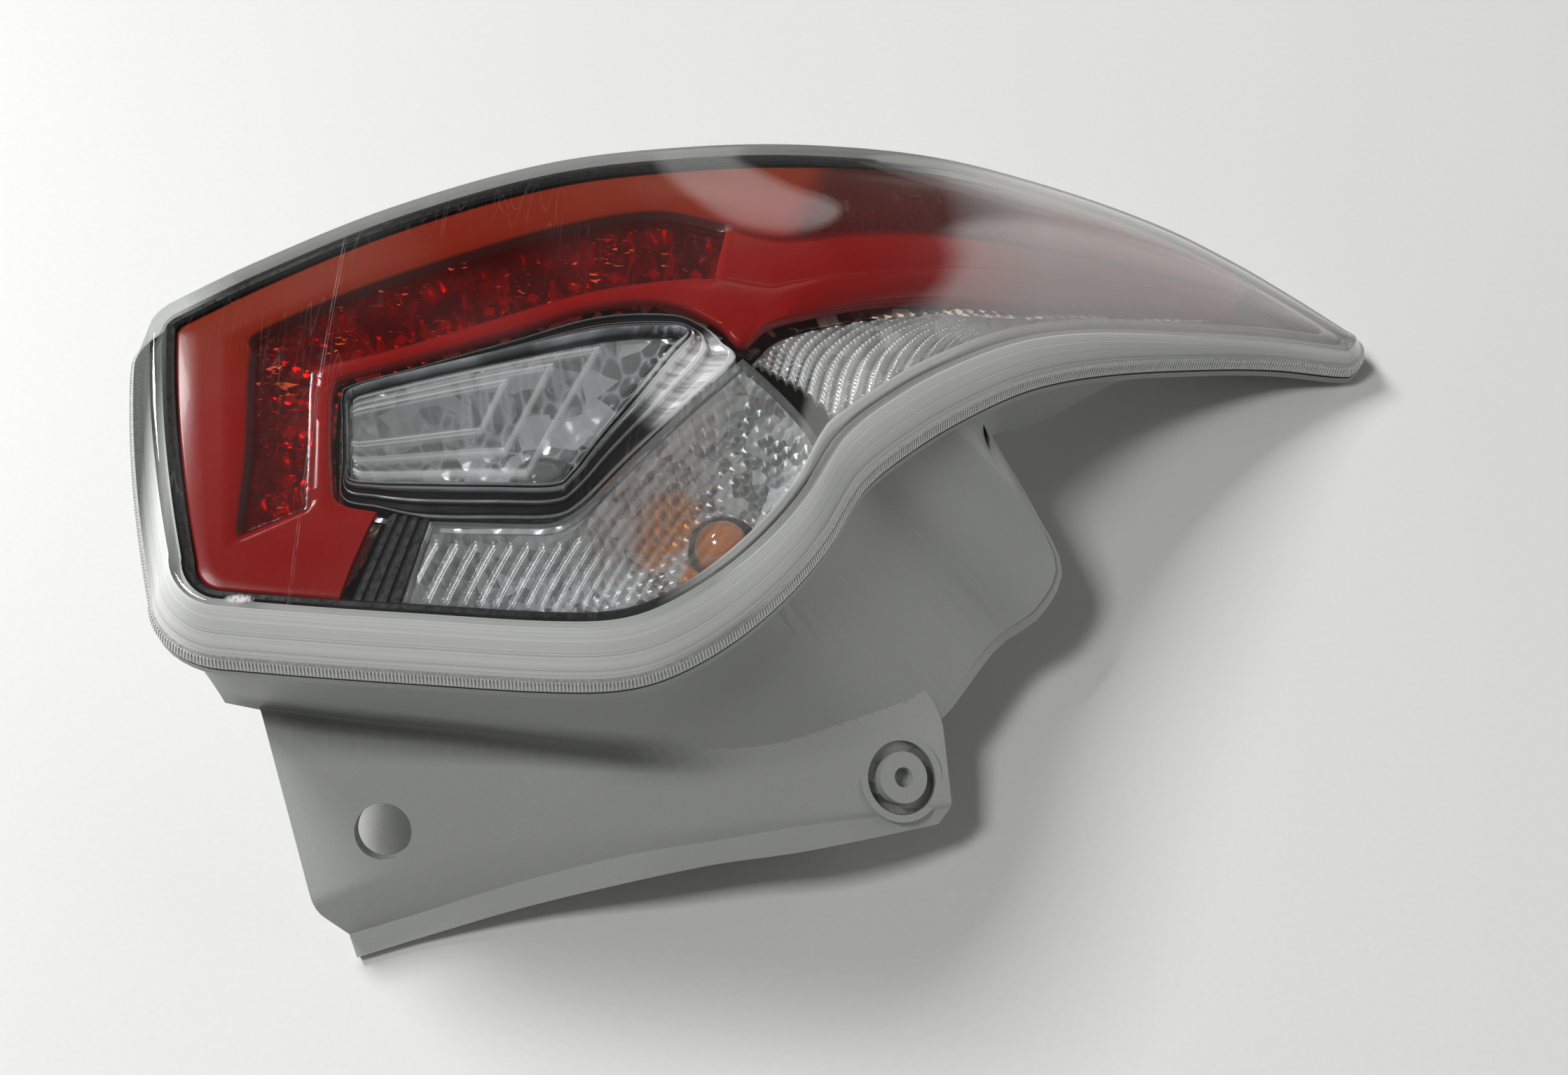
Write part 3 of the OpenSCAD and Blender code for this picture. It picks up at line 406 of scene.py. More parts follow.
class Finish:
    """A material, whose patterns are laid out in the object's own place."""
    def __init__(self, name):
        self.material = bpy.data.materials.new(name)
        self.material.use_nodes = True
        self.start(self.material.node_tree, "ShaderNodeOutputMaterial")
        self.place = self.node("ShaderNodeTexCoord", out="Object")

    def start(self, tree, output):
        self.tree = tree
        tree.nodes.clear()
        self.out = tree.nodes.new(output)

    def node(self, kind, settings=None, values=None, out=0):
        made = self.tree.nodes.new(kind)
        for key, value in (settings or {}).items():
            setattr(made, key, value)
        for key, value in (values or {}).items():
            if isinstance(value, Value):
                self.tree.links.new(value.socket, made.inputs[key])
            else:
                made.inputs[key].default_value = value
        return Value(self, made.outputs[out])

    def mark(self, name):
        """A number that each point of the piece carries."""
        return self.node("ShaderNodeAttribute", {"attribute_name": name}, out="Fac")

    def axes(self, vector=None):
        return [self.node("ShaderNodeSeparateXYZ", values={0: vector or self.place}, out=i) for i in range(3)]

    def moved(self, scale, turn):
        """The place scaled along its axes and turned about the upright one."""
        values = {"Vector": self.place, "Scale": scale, "Rotation": (0, 0, turn)}
        return self.node("ShaderNodeMapping", values=values)

    def noise(self, scale, detail=3.0, rough=0.5, vector=None):
        values = {"Vector": vector or self.place, "Scale": scale, "Detail": detail, "Roughness": rough}
        return self.node("ShaderNodeTexNoise", values=values, out="Fac")

    def lines(self, place, scale, detail, rough=0.5):
        """Noise along one number only."""
        values = {"W": place, "Scale": scale, "Detail": detail, "Roughness": rough}
        return self.node("ShaderNodeTexNoise", {"noise_dimensions": "1D"}, values)

    def ramp(self, value, low, high, a=0.0, b=1.0):
        values = {"Value": value, "From Min": low, "From Max": high, "To Min": a, "To Max": b}
        return self.node("ShaderNodeMapRange", values=values)

    def colour(self, factor, a, b):
        values = {0: factor, 6: opaque(a), 7: opaque(b)}
        return self.node("ShaderNodeMix", {"data_type": "RGBA"}, values, out=2)

    def bump(self, height, strength, distance):
        values = {"Height": height, "Strength": strength, "Distance": distance}
        return self.node("ShaderNodeBump", values=values, out="Normal")

    def solid(self, colour, rough, metallic=0.0, normal=None, coat=0.0, ior=1.5):
        values = {"Base Color": opaque(colour), "Roughness": rough, "Metallic": metallic, "Coat Weight": coat,
                  "IOR": ior, "Coat Roughness": 0.03}
        if normal:
            values["Normal"] = normal
        return self.node("ShaderNodeBsdfPrincipled", values=values)

    def clear(self, tint):
        return self.node("ShaderNodeBsdfTransparent", values={"Color": opaque(tint)})

    def gloss(self, rough, normal=None):
        values = {"Color": (1, 1, 1, 1), "Roughness": rough}
        if normal:
            values["Normal"] = normal
        return self.node("ShaderNodeBsdfAnisotropic", values=values)

    def blend(self, factor, a, b):
        return self.node("ShaderNodeMixShader", values={0: factor, 1: a, 2: b})

    def sheen_of(self, head_on, normal=None):
        """How much a clear surface mirrors, from head on to edge on, the same on both of its sides."""
        values = {"Blend": 0.5, "Normal": normal} if normal else {"Blend": 0.5}
        facing = self.node("ShaderNodeLayerWeight", values=values, out="Facing")
        return head_on + (1 - head_on) * facing ** 5.0

    def done(self, shader):
        self.tree.links.new(shader.socket, self.out.inputs["Surface"])
        return self.material


def scratches(f, turns):
    """Mask of hairline scratches: thin stretched lines of noise in a few directions."""
    total = 0.0
    for turn in turns:
        cells = f.noise(14.0, 1.0, vector=f.moved((9.0, 0.36, 9.0), turn))
        line = f.ramp(abs(cells - 0.5), 0.0, 0.004, 1.0, 0.0)
        total = line.at_least(total)
    return total


def clear_face_finish():
    """Clear outer lens with fine wear, one long hairline, a white scuff and a painted reflection that makes
    the tip milky.
    """
    f = Finish("clear lens")
    x, y, _ = f.axes()
    wave = f.bump(f.noise(60.0, 2.0), 0.04, 0.0005)
    haze = f.ramp(f.noise(14.0), 0.35, 0.75, 0.0, 0.012)
    # painted reflection: the lens is painted milky towards the tip, for the glare there
    tip = f.ramp(x + y * 0.1, 0.062, 0.1, 0.0, 0.25)
    worn = f.ramp(f.noise(22.0), 0.55, 0.65)
    lines = scratches(f, (0.35, 1.9)) * worn * 0.05
    hair = f.ramp(abs(x + 0.161 - (y + 0.0795) * 0.03), 0.00007, 0.0002, 0.16, 0.0)
    hair = hair * f.ramp(f.noise(90.0), 0.35, 0.6)
    a, b = (x + 0.1765) / 0.0045, (y + 0.0795) / 0.0014
    scuff = f.ramp(a * a + b * b, 0.2, 1.3, 1.0, 0.0) * f.ramp(f.noise(700.0), 0.36, 0.5) * 0.8
    wear_and_glare = (haze + lines + hair + scuff + tip).at_most(0.8)
    clean = f.blend(f.sheen_of(0.045), f.clear((0.985, 0.985, 0.985)), f.gloss(0.03, wave))
    return f.done(f.blend(wear_and_glare, clean, f.solid((0.78, 0.77, 0.75), 0.6)))


def side_wall_finish():
    """Clear side wall of the lens, painted pale for the light that runs in it, with a few fine lines along
    it, and painted shade on its blunt end and the lower part of its right side.
    """
    f = Finish("lens side wall")
    x, y, _ = f.axes()
    down = f.mark("down")
    wobble = f.noise(9.0, 2.0) * 0.35
    streak = f.lines(down * 5.0 + wobble, 1.5, 3.0, 0.6)
    fine = f.lines(down * 34.0 + wobble * 3.0, 1.0, 1.0)
    # painted shade: mask of the blunt end, which is painted dark
    painted_shade_end = f.ramp(x - y * 0.12, -0.215, -0.2, 1.0, 0.0)
    # pale streaked tone: painted light for the light that runs in the clear wall
    tone = f.colour(f.ramp(streak, 0.35, 0.62), (0.74, 0.75, 0.74), (0.94, 0.95, 0.94))
    # painted shade: the second mark darkens the lower part of the right side, the last darkens the blunt end
    for factor, over in ((f.ramp(fine, 0.6, 0.7) * 0.4, (0.34, 0.35, 0.34)),
                         (f.ramp(x, -0.05, 0.0) * f.ramp(down, 0.3, 0.8, 0.2, 0.6), (0.24, 0.25, 0.235)),
                         (f.ramp(fine, 0.4, 0.3) * 0.5, (0.95, 0.96, 0.96)),
                         (painted_shade_end * 0.85, (0.13, 0.14, 0.125))):
        tone = f.colour(factor, tone, over)
    cover = f.ramp(streak, 0.3, 0.7, 0.82, 0.96) * (1 - painted_shade_end * 0.65)
    wave = f.bump(streak * 0.6 + fine * 0.15, 0.3, 0.0012)
    body = f.solid(tone, 0.25 + painted_shade_end * 0.4, normal=wave, coat=0.5 - painted_shade_end * 0.5)
    see = f.blend(cover, f.clear((0.95, 0.96, 0.95)), body)
    return f.done(f.blend(f.sheen_of(0.05) * (1 - painted_shade_end * 0.93), see, f.gloss(0.08, wave)))


def foot_finish():
    f = Finish("lens foot")
    speck = f.noise(900.0, 2.0)
    tone = f.colour(f.ramp(speck, 0.3, 0.7), (0.42, 0.425, 0.41), (0.62, 0.63, 0.61))
    return f.done(f.solid(tone, 0.3, normal=f.bump(speck, 0.2, 0.0004), coat=0.4))


def rib_finish():
    f = Finish("lens ribs")
    return f.done(f.solid(f.colour(f.noise(300.0), (0.6, 0.61, 0.6), (0.85, 0.86, 0.85)), 0.2, coat=0.5))


def red_finish():
    """Deep red plastic, a little see-through, warmer along the far side, with painted shade in its creases
    and over one stretch of its outer band.
    """
    f = Finish("red lens")
    x, y, _ = f.axes()
    crease = f.mark("crease")
    broad = f.noise(7.0, 3.0)
    grain = f.noise(700.0, 2.0)
    warm = f.ramp(y - x * 0.42, 0.07, 0.112) * f.ramp(broad, 0.3, 0.6, 0.45, 1.0)
    tone = f.colour(f.ramp(broad, 0.3, 0.72), (0.27, 0.005, 0.004), (0.36, 0.010, 0.007))
    # the deep mark is painted shade over one stretch of the outer band, the crease mark is painted shade in
    # the creases
    for factor, over in ((warm * 0.8, (0.27, 0.060, 0.018)),
                         (f.mark("deep") * 0.85, (0.035, 0.008, 0.006)),
                         (f.ramp(grain, 0.4, 0.6) * 0.12, (0.42, 0.02, 0.018)),
                         (crease * 0.8, (0.035, 0.003, 0.003))):
        tone = f.colour(factor, tone, over)
    body = f.solid(tone, 0.22 + crease * 0.4, normal=f.bump(grain, 0.06, 0.0003), coat=0.1, ior=1.4)
    return f.done(f.blend(0.8, f.clear((0.8, 0.05, 0.03)), body))


def channel_finish():
    """The same plastic where it is clearest, over the cups of the diodes, with painted glints and painted
    shade in its creases.
    """
    f = Finish("red light channel")
    crease = f.mark("crease")
    wave = f.bump(f.noise(210.0, 2.0), 0.3, 0.0008)
    # painted glints: orange specks painted into the colour
    glint = f.noise(230.0, 2.0, vector=f.moved((1, 2.4, 1), 0.5))
    painted_glints = f.ramp(glint, 0.63, 0.68) * f.ramp(f.noise(60.0), 0.46, 0.58)
    tone = f.colour(f.noise(30.0), (0.10, 0.003, 0.003), (0.24, 0.008, 0.006))
    tone = f.colour(painted_glints, tone, (0.95, 0.12, 0.03))
    # painted shade in the creases
    tone = f.colour(crease * 0.8, tone, (0.03, 0.003, 0.003))
    body = f.solid(tone, 0.14 + crease * 0.7, normal=wave, coat=(0.4 - crease).at_least(0.0))
    cover = (0.22 + painted_glints * 0.55 + crease * 0.5).at_most(0.9)
    film = f.blend(cover, f.clear((0.86, 0.07, 0.035)), body)
    shine = f.sheen_of(0.03, wave) * (1 - crease * 1.5).at_least(0.05)
    return f.done(f.blend(shine, film, f.gloss(0.14, wave)))


def hex_cells(u, v, pitch):
    """Domes of a honeycomb: one in the middle of each cell and zero where cells meet."""
    def dome(du, dv):
        a = (u / pitch + du).maths("FRACT") - 0.5
        b = ((v / (pitch * 1.732) + dv).maths("FRACT") - 0.5) * 1.732
        return a * a + b * b
    near = dome(0.0, 0.0).at_most(dome(0.5, 0.5))
    return 1 - near.maths("SQRT") * 1.73


def near_spot(f, x, y, spot):
    """Mask of an oval patch: middle, half length and half width, and the turn of its long way."""
    sx, sy, rx, ry, turn = spot
    c, s = math.cos(turn), math.sin(turn)
    a = ((x - sx) * c + (y - sy) * s) / rx
    b = ((y - sy) * c - (x - sx) * s) / ry
    return f.ramp(a * a + b * b, 0.3, 1.3, 1.0, 0.0)


# Oval patch of painted highlight at the upper end of the bezel's slanted side, and oval patches of painted
# reflection of the amber bulb
HIGHLIGHT_END = (-0.036, 0.0085, 0.024, 0.012, 0.87)
AMBER_SPOTS = ((-0.045, -0.033, 0.015, 0.008, 0.87), (-0.034, -0.044, 0.010, 0.005, 0.87),
               (-0.012, -0.047, 0.020, 0.008, 0.87), (-0.128, -0.062, 0.006, 0.002, 1.1))


def silver_finish(name, tone=(0.88, 0.89, 0.90), rough=0.26, cells=0.005, depth=0.8, web=0.0, facets=0.75,
                  soft=0.5, amber=False):
    """Bright metallised plastic in small cells, with painted glints: each cell painted brighter or darker at
    random, as if each faced its own way.

    web is how much painted highlight the lines between cells get, facets how much the painted brightness
    of the cells differs, and soft how whitish the painted-bright cells are.
    """
    f = Finish(name)
    x, y, _ = f.axes()
    bent = f.noise(55.0, 2.0) * 0.002
    cell = hex_cells(x * 0.9 + y * 0.43 + bent, y * 0.9 - x * 0.43 + bent, cells)
    wave = f.bump(cell ** 0.7 + f.noise(24.0, 2.0) * 0.6, depth, 0.0016)
    # painted glints: each cell painted brighter or darker at random
    facet = f.node("ShaderNodeTexVoronoi", None, {"Vector": f.place, "Scale": 0.8 / cells}, out="Color")
    shade = f.ramp(facet, 0.32, 0.66, 1 - facets, 1.0)
    colour = f.colour(shade, tuple(0.18 * c for c in tone), tone)
    # painted highlight on the lines between cells
    line = f.ramp(cell, 0.1, 0.32, web, 0.0)
    colour = f.colour(line, colour, (0.97, 0.97, 0.98))
    # painted reflection of the amber bulb in streaky amber patches, and a painted highlight at the bright end
    if amber:
        spot = near_spot(f, x, y, AMBER_SPOTS[0])
        for other in AMBER_SPOTS[1:]:
            spot = spot.at_least(near_spot(f, x, y, other))
        streaks = f.noise(120.0, vector=f.moved((1, 4, 1), -0.75))
        colour = f.colour(spot * f.ramp(streaks, 0.28, 0.42), colour, (0.90, 0.30, 0.008))
        bright = near_spot(f, x, y, HIGHLIGHT_END)
        colour = f.colour(bright, colour, (0.96, 0.96, 0.97))
        shade = shade.at_least(bright)
    metal = f.ramp(shade, 0.35, 0.95, 0.95, 1 - soft) * (1 - line)
    return f.done(f.solid(colour, rough, metal, wave))


def chrome_finish():
    """Plated bezel, painted dark for the dark room that it mirrors, with painted highlights on its ridges and
    a brilliant painted highlight at one end.
    """
    f = Finish("chrome with painted reflections")
    x, y, _ = f.axes()
    broad = f.noise(16.0, 2.0)
    bright = near_spot(f, x, y, HIGHLIGHT_END)
    streaks = f.noise(60.0, 2.0, vector=f.moved((1, 7, 1), -0.75))
    # painted reflection: the tone is dark for the dark room that the chrome mirrors; ridges and the bright
    # end get painted highlights
    tone = f.colour(broad, (0.035, 0.036, 0.038), (0.10, 0.10, 0.105))
    tone = f.colour(f.ramp(f.mark("ridge"), 0.35, 0.9), tone, (0.85, 0.86, 0.87))
    tone = f.colour(bright * f.ramp(streaks, 0.3, 0.55, 0.4, 1.0), tone, (0.97, 0.97, 0.98))
    smear = f.ramp(streaks, 0.4, 0.7, 0.14, 0.24)
    return f.done(f.solid(tone, smear, 0.9 - bright * 0.75, f.bump(broad, 0.06, 0.001)))


def black_finish():
    """Black frame, which turns into a pale one round the side reflector and the tip."""
    f = Finish("black frame plastic")
    x, y, _ = f.axes()
    grain = f.noise(500.0, 2.0)
    pale = f.ramp(x - y * 0.43, -0.012, 0.002)
    tone = f.colour(grain, (0.006, 0.006, 0.007), (0.018, 0.018, 0.019))
    tone = f.colour(pale, tone, (0.48, 0.48, 0.465))
    rough = f.ramp(grain, 0.3, 0.7, 0.25, 0.4)
    return f.done(f.solid(tone, rough, normal=f.bump(grain, 0.1, 0.0003), coat=0.3))


def housing_finish():
    f = Finish("grey housing plastic")
    grain = f.noise(1300.0, 3.0, 0.6)
    broad = f.noise(9.0)
    dirt = f.ramp(f.noise(45.0, 4.0), 0.58, 0.75)
    tone = f.colour(broad, (0.45, 0.46, 0.44), (0.50, 0.51, 0.485))
    tone = f.colour(f.ramp(grain, 0.35, 0.65) * 0.25, tone, (0.37, 0.38, 0.36))
    tone = f.colour(dirt * 0.15, tone, (0.48, 0.485, 0.46))
    # painted shade: the shade mark darkens the walls and the fold where the flange meets them
    tone = f.colour(f.mark("shade"), tone, (0.06, 0.065, 0.06))
    rough = f.ramp(broad, 0.3, 0.7, 0.42, 0.52)
    return f.done(f.solid(tone, rough, normal=f.bump(grain, 0.22, 0.00025)))


def optic_finish(name, haze, rough, wave_scale, wave_depth, mirror):
    """Clear patterned inner lens, with painted highlights along its ridges."""
    f = Finish(name)
    wave = f.bump(f.noise(wave_scale, 2.0), wave_depth, 0.0008)
    body = f.solid((0.86, 0.87, 0.87), 0.15, normal=wave)
    # painted highlight: the ridge mark makes the lens white along its ridges
    film = f.blend(haze + f.mark("ridge") * 0.6, f.clear((0.96, 0.97, 0.97)), body)
    return f.done(f.blend(f.sheen_of(mirror, wave), film, f.gloss(rough, wave)))


def plain_finish(name, low, high, rough, metallic=0.0, scale=300.0):
    """Moulded or turned small part: fine grain in its colour, gloss and surface."""
    f = Finish(name)
    grain = f.noise(scale)
    tone = f.colour(f.ramp(grain, 0.3, 0.7), low, high)
    rough = f.ramp(grain, 0.3, 0.7, rough * 0.85, rough * 1.15)
    return f.done(f.solid(tone, rough, metallic, f.bump(grain, 0.12, 0.0004)))


def bulb_finish(name, tint, cover):
    f = Finish(name)
    wave = f.bump(f.noise(90.0), 0.1, 0.0006)
    body = f.solid(f.colour(f.noise(40.0), tint, tuple(0.8 * c for c in tint)), 0.1, normal=wave)
    film = f.blend(cover, f.clear(tint), body)
    return f.done(f.blend(f.sheen_of(0.05), film, f.gloss(0.03)))


def floor_finish():
    f = Finish("pale table")
    grain = f.noise(420.0, 3.0, 0.7)
    tone = f.colour(f.ramp(f.noise(1.7, 2.0), 0.3, 0.7), (0.735, 0.74, 0.715), (0.775, 0.78, 0.755))
    tone = f.colour(f.ramp(grain, 0.35, 0.65) * 0.25, tone, (0.69, 0.695, 0.67))
    return f.done(f.solid(tone, 0.5))


CLEAR = clear_face_finish()
SIDE = side_wall_finish()
FOOT = foot_finish()
RIBS = rib_finish()
RED = red_finish()
CHANNEL = channel_finish()
SILVER = silver_finish("bright reflector", cells=0.0076, depth=0.9, web=0.8, facets=0.85, soft=0.9)
SILVER_AMBER = silver_finish("indicator reflector", rough=0.33, cells=0.004, web=0.4, soft=0.8, amber=True)
FLUTED = silver_finish("side reflector", (0.86, 0.87, 0.87), 0.22, cells=0.006, depth=0.10, facets=0.25)
RED_METAL = silver_finish("diode reflector", (0.95, 0.75, 0.65), 0.15, depth=0.3, facets=0.95)
CHROME = chrome_finish()
BLACK = black_finish()
GREY = housing_finish()
OPTIC = optic_finish("reverse lens", 0.07, 0.05, 120.0, 0.3, 0.07)
FLUTE_OPTIC = optic_finish("indicator lens", 0.08, 0.15, 90.0, 0.2, 0.015)
RUBBER = plain_finish("black rubber", (0.012, 0.012, 0.012), (0.03, 0.03, 0.03), 0.7)
BOARD = plain_finish("green board", (0.012, 0.05, 0.022), (0.03, 0.09, 0.04), 0.4, scale=120.0)
DIODE = plain_finish("diode resin", (0.8, 0.72, 0.4), (0.9, 0.85, 0.6), 0.25, scale=500.0)
CAP = plain_finish("bulb cap metal", (0.55, 0.53, 0.47), (0.68, 0.66, 0.6), 0.3, 1.0, scale=150.0)
HOLDER = plain_finish("black holder plastic", (0.02, 0.02, 0.022), (0.04, 0.04, 0.042), 0.45)
PIN = plain_finish("off-white pin plastic", (0.62, 0.62, 0.58), (0.74, 0.74, 0.7), 0.4)
BULB_CLEAR = bulb_finish("clear bulb", (0.95, 0.95, 0.95), 0.12)
BULB_AMBER = bulb_finish("amber bulb", (0.85, 0.24, 0.008), 0.85)

# Outer lens: rounded edge, side wall, serrated foot and the inside
FOOT_LEAN = 0.3 * FOOT_BAND
FOOT_STEP = 0.8
FOOT_ROUND = 0.4
ROUND_WIDE = EDGE_ROUND * 0.94
ROUND_HIGH = EDGE_ROUND * 0.9
CLEAR_BANDS = 3
WALL_STEPS = 6

turns = [math.radians(15 * i) for i in range(1, 6)]
fillet = [outer_ring(0, ROUND_WIDE * math.sin(a), 0, ROUND_HIGH * (1 - math.cos(a))) for a in turns]
wall_foot = outer_ring(1, -FOOT_LEAN, 1, -FOOT_BAND)
wall = [[mix(a, b, i / WALL_STEPS) for a, b in zip(fillet[-1], wall_foot)] for i in range(1, WALL_STEPS)]
band_top = outer_ring(1, FOOT_STEP - FOOT_LEAN, 1, FOOT_STEP / 2 - FOOT_BAND)
band_foot = outer_ring(1, FOOT_STEP, 1, -FOOT_ROUND)
rings = fillet + wall + [wall_foot, band_top, band_foot, outer_ring(1, FOOT_STEP - FOOT_ROUND, 1, 0),
                         outer_ring(1, FOOT_STEP - FOOT_WIDE, 1, 0)]
upper = grid_under(face_grid(0, FACE_ROWS), 0)
lower = grid_under(face_grid(LENS_WALL / 2, FACE_ROWS), LENS_WALL)
points, faces, band = shell_parts(upper, rings, lower)
first_foot = len(fillet) + len(wall) + 2


def lens_slot(b):
    """0 for the clear face and its rounded edge, 1 for the side wall inside and out, 2 for the foot."""
    if b <= CLEAR_BANDS or b == len(rings) + 2:
        return 0
    return 1 if b < first_foot or b == len(rings) + 1 else 2


down = [0.0] * (len(upper) * FACE_ROWS)
for r, ring in enumerate(rings):
    share = clamp((r + 1 - len(fillet)) / (WALL_STEPS + 1)) if r < first_foot else 1.0
    down += [share] * len(ring)
down += [0.0] * (len(lower) * FACE_ROWS)
lens = piece("lens_cover", points, faces, [lens_slot(b) for b in band], 50, {"down": down})
dressed(lens, "outer_lens", "clear_lens", CLEAR, SIDE, FOOT)

# Serrations of the foot: short upright ribs that follow its band, sizes in metres
RIB = {"Pitch": 0.0012, "Rib width": 0.0005, "Rib height": 0.0036, "Rib depth": 0.0006}


def rib_tree():
    """Geometry Nodes tree that sets a rib at even steps along a closed line, upright and facing out."""
    tree = bpy.data.node_groups.new("ribs along a line", "GeometryNodeTree")
    face = tree.interface
    face.new_socket("Geometry", in_out="INPUT", socket_type="NodeSocketGeometry")
    inputs = {}
    for label, value in RIB.items():
        made = face.new_socket(label, in_out="INPUT", socket_type="NodeSocketFloat")
        made.default_value = value
        inputs[label] = made.identifier
    inputs["Finish"] = face.new_socket("Finish", in_out="INPUT", socket_type="NodeSocketMaterial").identifier
    face.new_socket("Geometry", in_out="OUTPUT", socket_type="NodeSocketGeometry")
    given = tree.nodes.new("NodeGroupInput").outputs
    result = tree.nodes.new("NodeGroupOutput")

    def add(kind, links=None, **settings):
        made = tree.nodes.new(kind)
        for key, value in settings.items():
            setattr(made, key, value)
        for key, source in (links or {}).items():
            tree.links.new(source, made.inputs[key])
        return made

    line = add("GeometryNodeMeshToCurve", {"Mesh": given["Geometry"]})
    even = add("GeometryNodeResampleCurve", {"Curve": line.outputs[0], "Length": given["Pitch"]},
               mode="LENGTH")
    sizes = {"X": given["Rib width"], "Y": given["Rib depth"], "Z": given["Rib height"]}
    rib = add("GeometryNodeMeshCube", {"Size": add("ShaderNodeCombineXYZ", sizes).outputs[0]})
    tangent = add("GeometryNodeInputTangent")
    out = add("GeometryNodeInputNamedAttribute", data_type="FLOAT_VECTOR")
    out.inputs["Name"].default_value = "out"
    first = add("FunctionNodeAlignRotationToVector", {"Vector": out.outputs[0]}, axis="Y")
    second = add("FunctionNodeAlignRotationToVector",
                 {"Rotation": first.outputs[0], "Vector": tangent.outputs[0]}, axis="X", pivot_axis="Y")
    spread = add("GeometryNodeInstanceOnPoints",
                 {"Points": even.outputs[0], "Instance": rib.outputs[0], "Rotation": second.outputs[0]})
    real = add("GeometryNodeRealizeInstances", {0: spread.outputs[0]})
    paint = add("GeometryNodeSetMaterial", {"Geometry": real.outputs[0], "Material": given["Finish"]})
    tree.links.new(paint.outputs[0], result.inputs[0])
    return tree, inputs


def ribs_along(name, line, outs):
    """Ribs on a closed line; outs says where out is at each of its points."""
    mesh = bpy.data.meshes.new(name)
    n = len(line)
    mesh.from_pydata([metres(p) for p in line], [(k, (k + 1) % n) for k in range(n)], [])
    facing = mesh.attributes.new("out", "FLOAT_VECTOR", "POINT")
    facing.data.foreach_set("vector", [v for o in outs for v in o])
    obj = placed(name, mesh)
    growth = obj.modifiers.new("ribs", "NODES")
    growth.node_group, inputs = rib_tree()
    for label, value in {**RIB, "Finish": RIBS}.items():
        growth[inputs[label]] = value
    return applied(obj)


lean = math.atan2(FOOT_LEAN, FOOT_BAND)
outs = [(n[0] * math.cos(lean), n[1] * math.cos(lean), math.sin(lean)) for n in FACE_OUT]
band_line = [mix(a, b, 0.5) for a, b in zip(band_top, band_foot)]
dressed(ribs_along("lens_serrations", band_line, outs), None, "clear_lens")

# Sealing bead, a little clear of the lens and the housing
SEAL_OUT = 0.4
SEAL_CLEAR = 0.15
SEAL_LOW = SEAL_THICK - SEAL_CLEAR

corners = ((FOOT_WIDE, SEAL_CLEAR), (0, SEAL_CLEAR), (0, SEAL_LOW), (FOOT_WIDE, SEAL_LOW))
bead = ring_parts([outer_ring(1, SEAL_OUT - wide, 1, more) for wide, more in corners])
dressed(piece("seal_line", *bead), "sealing_bead", "seal", RUBBER)

# Housing: foot lines of its walls, as key, x, y and z
NEAR_BASE = [(0, 2, -103, 56), (60, 60, -112.5, 50), (110, 110, -119, 46), (145, 148, -125, 42),
             (165, 174, -128, 38), (184, 213, -129, 34), (202, 247, -118, 32), (217, 268, -98, 29),
             (230, 288, -70, 28), (240, 304, -58, 30), (250, 313, -40, 33), (261, 303, -22, 45),
             (272, 289, -6, 55), (286, 289, 16, 38), (300, 303, 27, 28), (313, 316, 35, 25),
             (328, 329, 42, 28), (341, 341, 47.5, 30), (370, 368, 60, 21), (404, 400, 71, 9),
             (436, 428, 76, 3)]
FAR_BASE = [(0, 6, 4, 52), (30, 34, 16, 50), (75, 77, 37, 48), (128, 128, 58, 46), (176, 176, 71, 42),
            (220, 219, 82, 40), (268, 266, 93, 40), (300, 298, 99, 38), (330, 326, 102, 30),
            (360, 355, 103, 22), (392, 388, 98, 12), (419, 410, 88, 6), (436, 426, 80, 3)]
RIM_OUT = 0.5
WALL_IN = RIM_WIDE - RIM_OUT - HOUSING_WALL
HOUSING_ROWS = 13
HOUSING_RIM = rim_of(face_grid(0, HOUSING_ROWS))
HOUSING_OUT = outward(HOUSING_RIM)
TUB_STEPS = 10


def tub_ring(extra, more):
    return outer_ring(1, extra, 1, more, HOUSING_RIM, HOUSING_OUT)


def base_grid():
    grid = []
    for s in STATIONS:
        w = s / LENS_LEN
        a, b = keyed(NEAR_BASE, near_point(w, 0)[0]), keyed(FAR_BASE, far_point(w, 0)[0])
        grid.append([mix(a, b, j / (HOUSING_ROWS - 1)) for j in range(HOUSING_ROWS)])
    return grid


def inset_grid(grid, m, lift):
    """The grid raised, with its edge drawn in."""
    made = [[plus(p, (0, 0, lift)) for p in line] for line in grid]
    loop = rim_of(grid)
    for (i, j), p, o in zip(rim_places(len(grid), len(grid[0])), loop, outward(loop)):
        made[i][j] = (p[0] - o[0] * m, p[1] - o[1] * m, p[2] + lift)
    return made


base = base_grid()
rim_foot = tub_ring(-WALL_IN, SEAL_THICK + RIM_THICK)
tub_rings = [tub_ring(RIM_OUT - RIM_WIDE, SEAL_THICK), tub_ring(RIM_OUT, SEAL_THICK),
             tub_ring(RIM_OUT, SEAL_THICK + RIM_THICK)]
tub_rings += [[mix(a, b, i / TUB_STEPS) for a, b in zip(rim_foot, rim_of(base))] for i in range(TUB_STEPS)]
tub_shell = shell_parts(inset_grid(base, HOUSING_WALL, HOUSING_WALL), tub_rings, base)[:2]

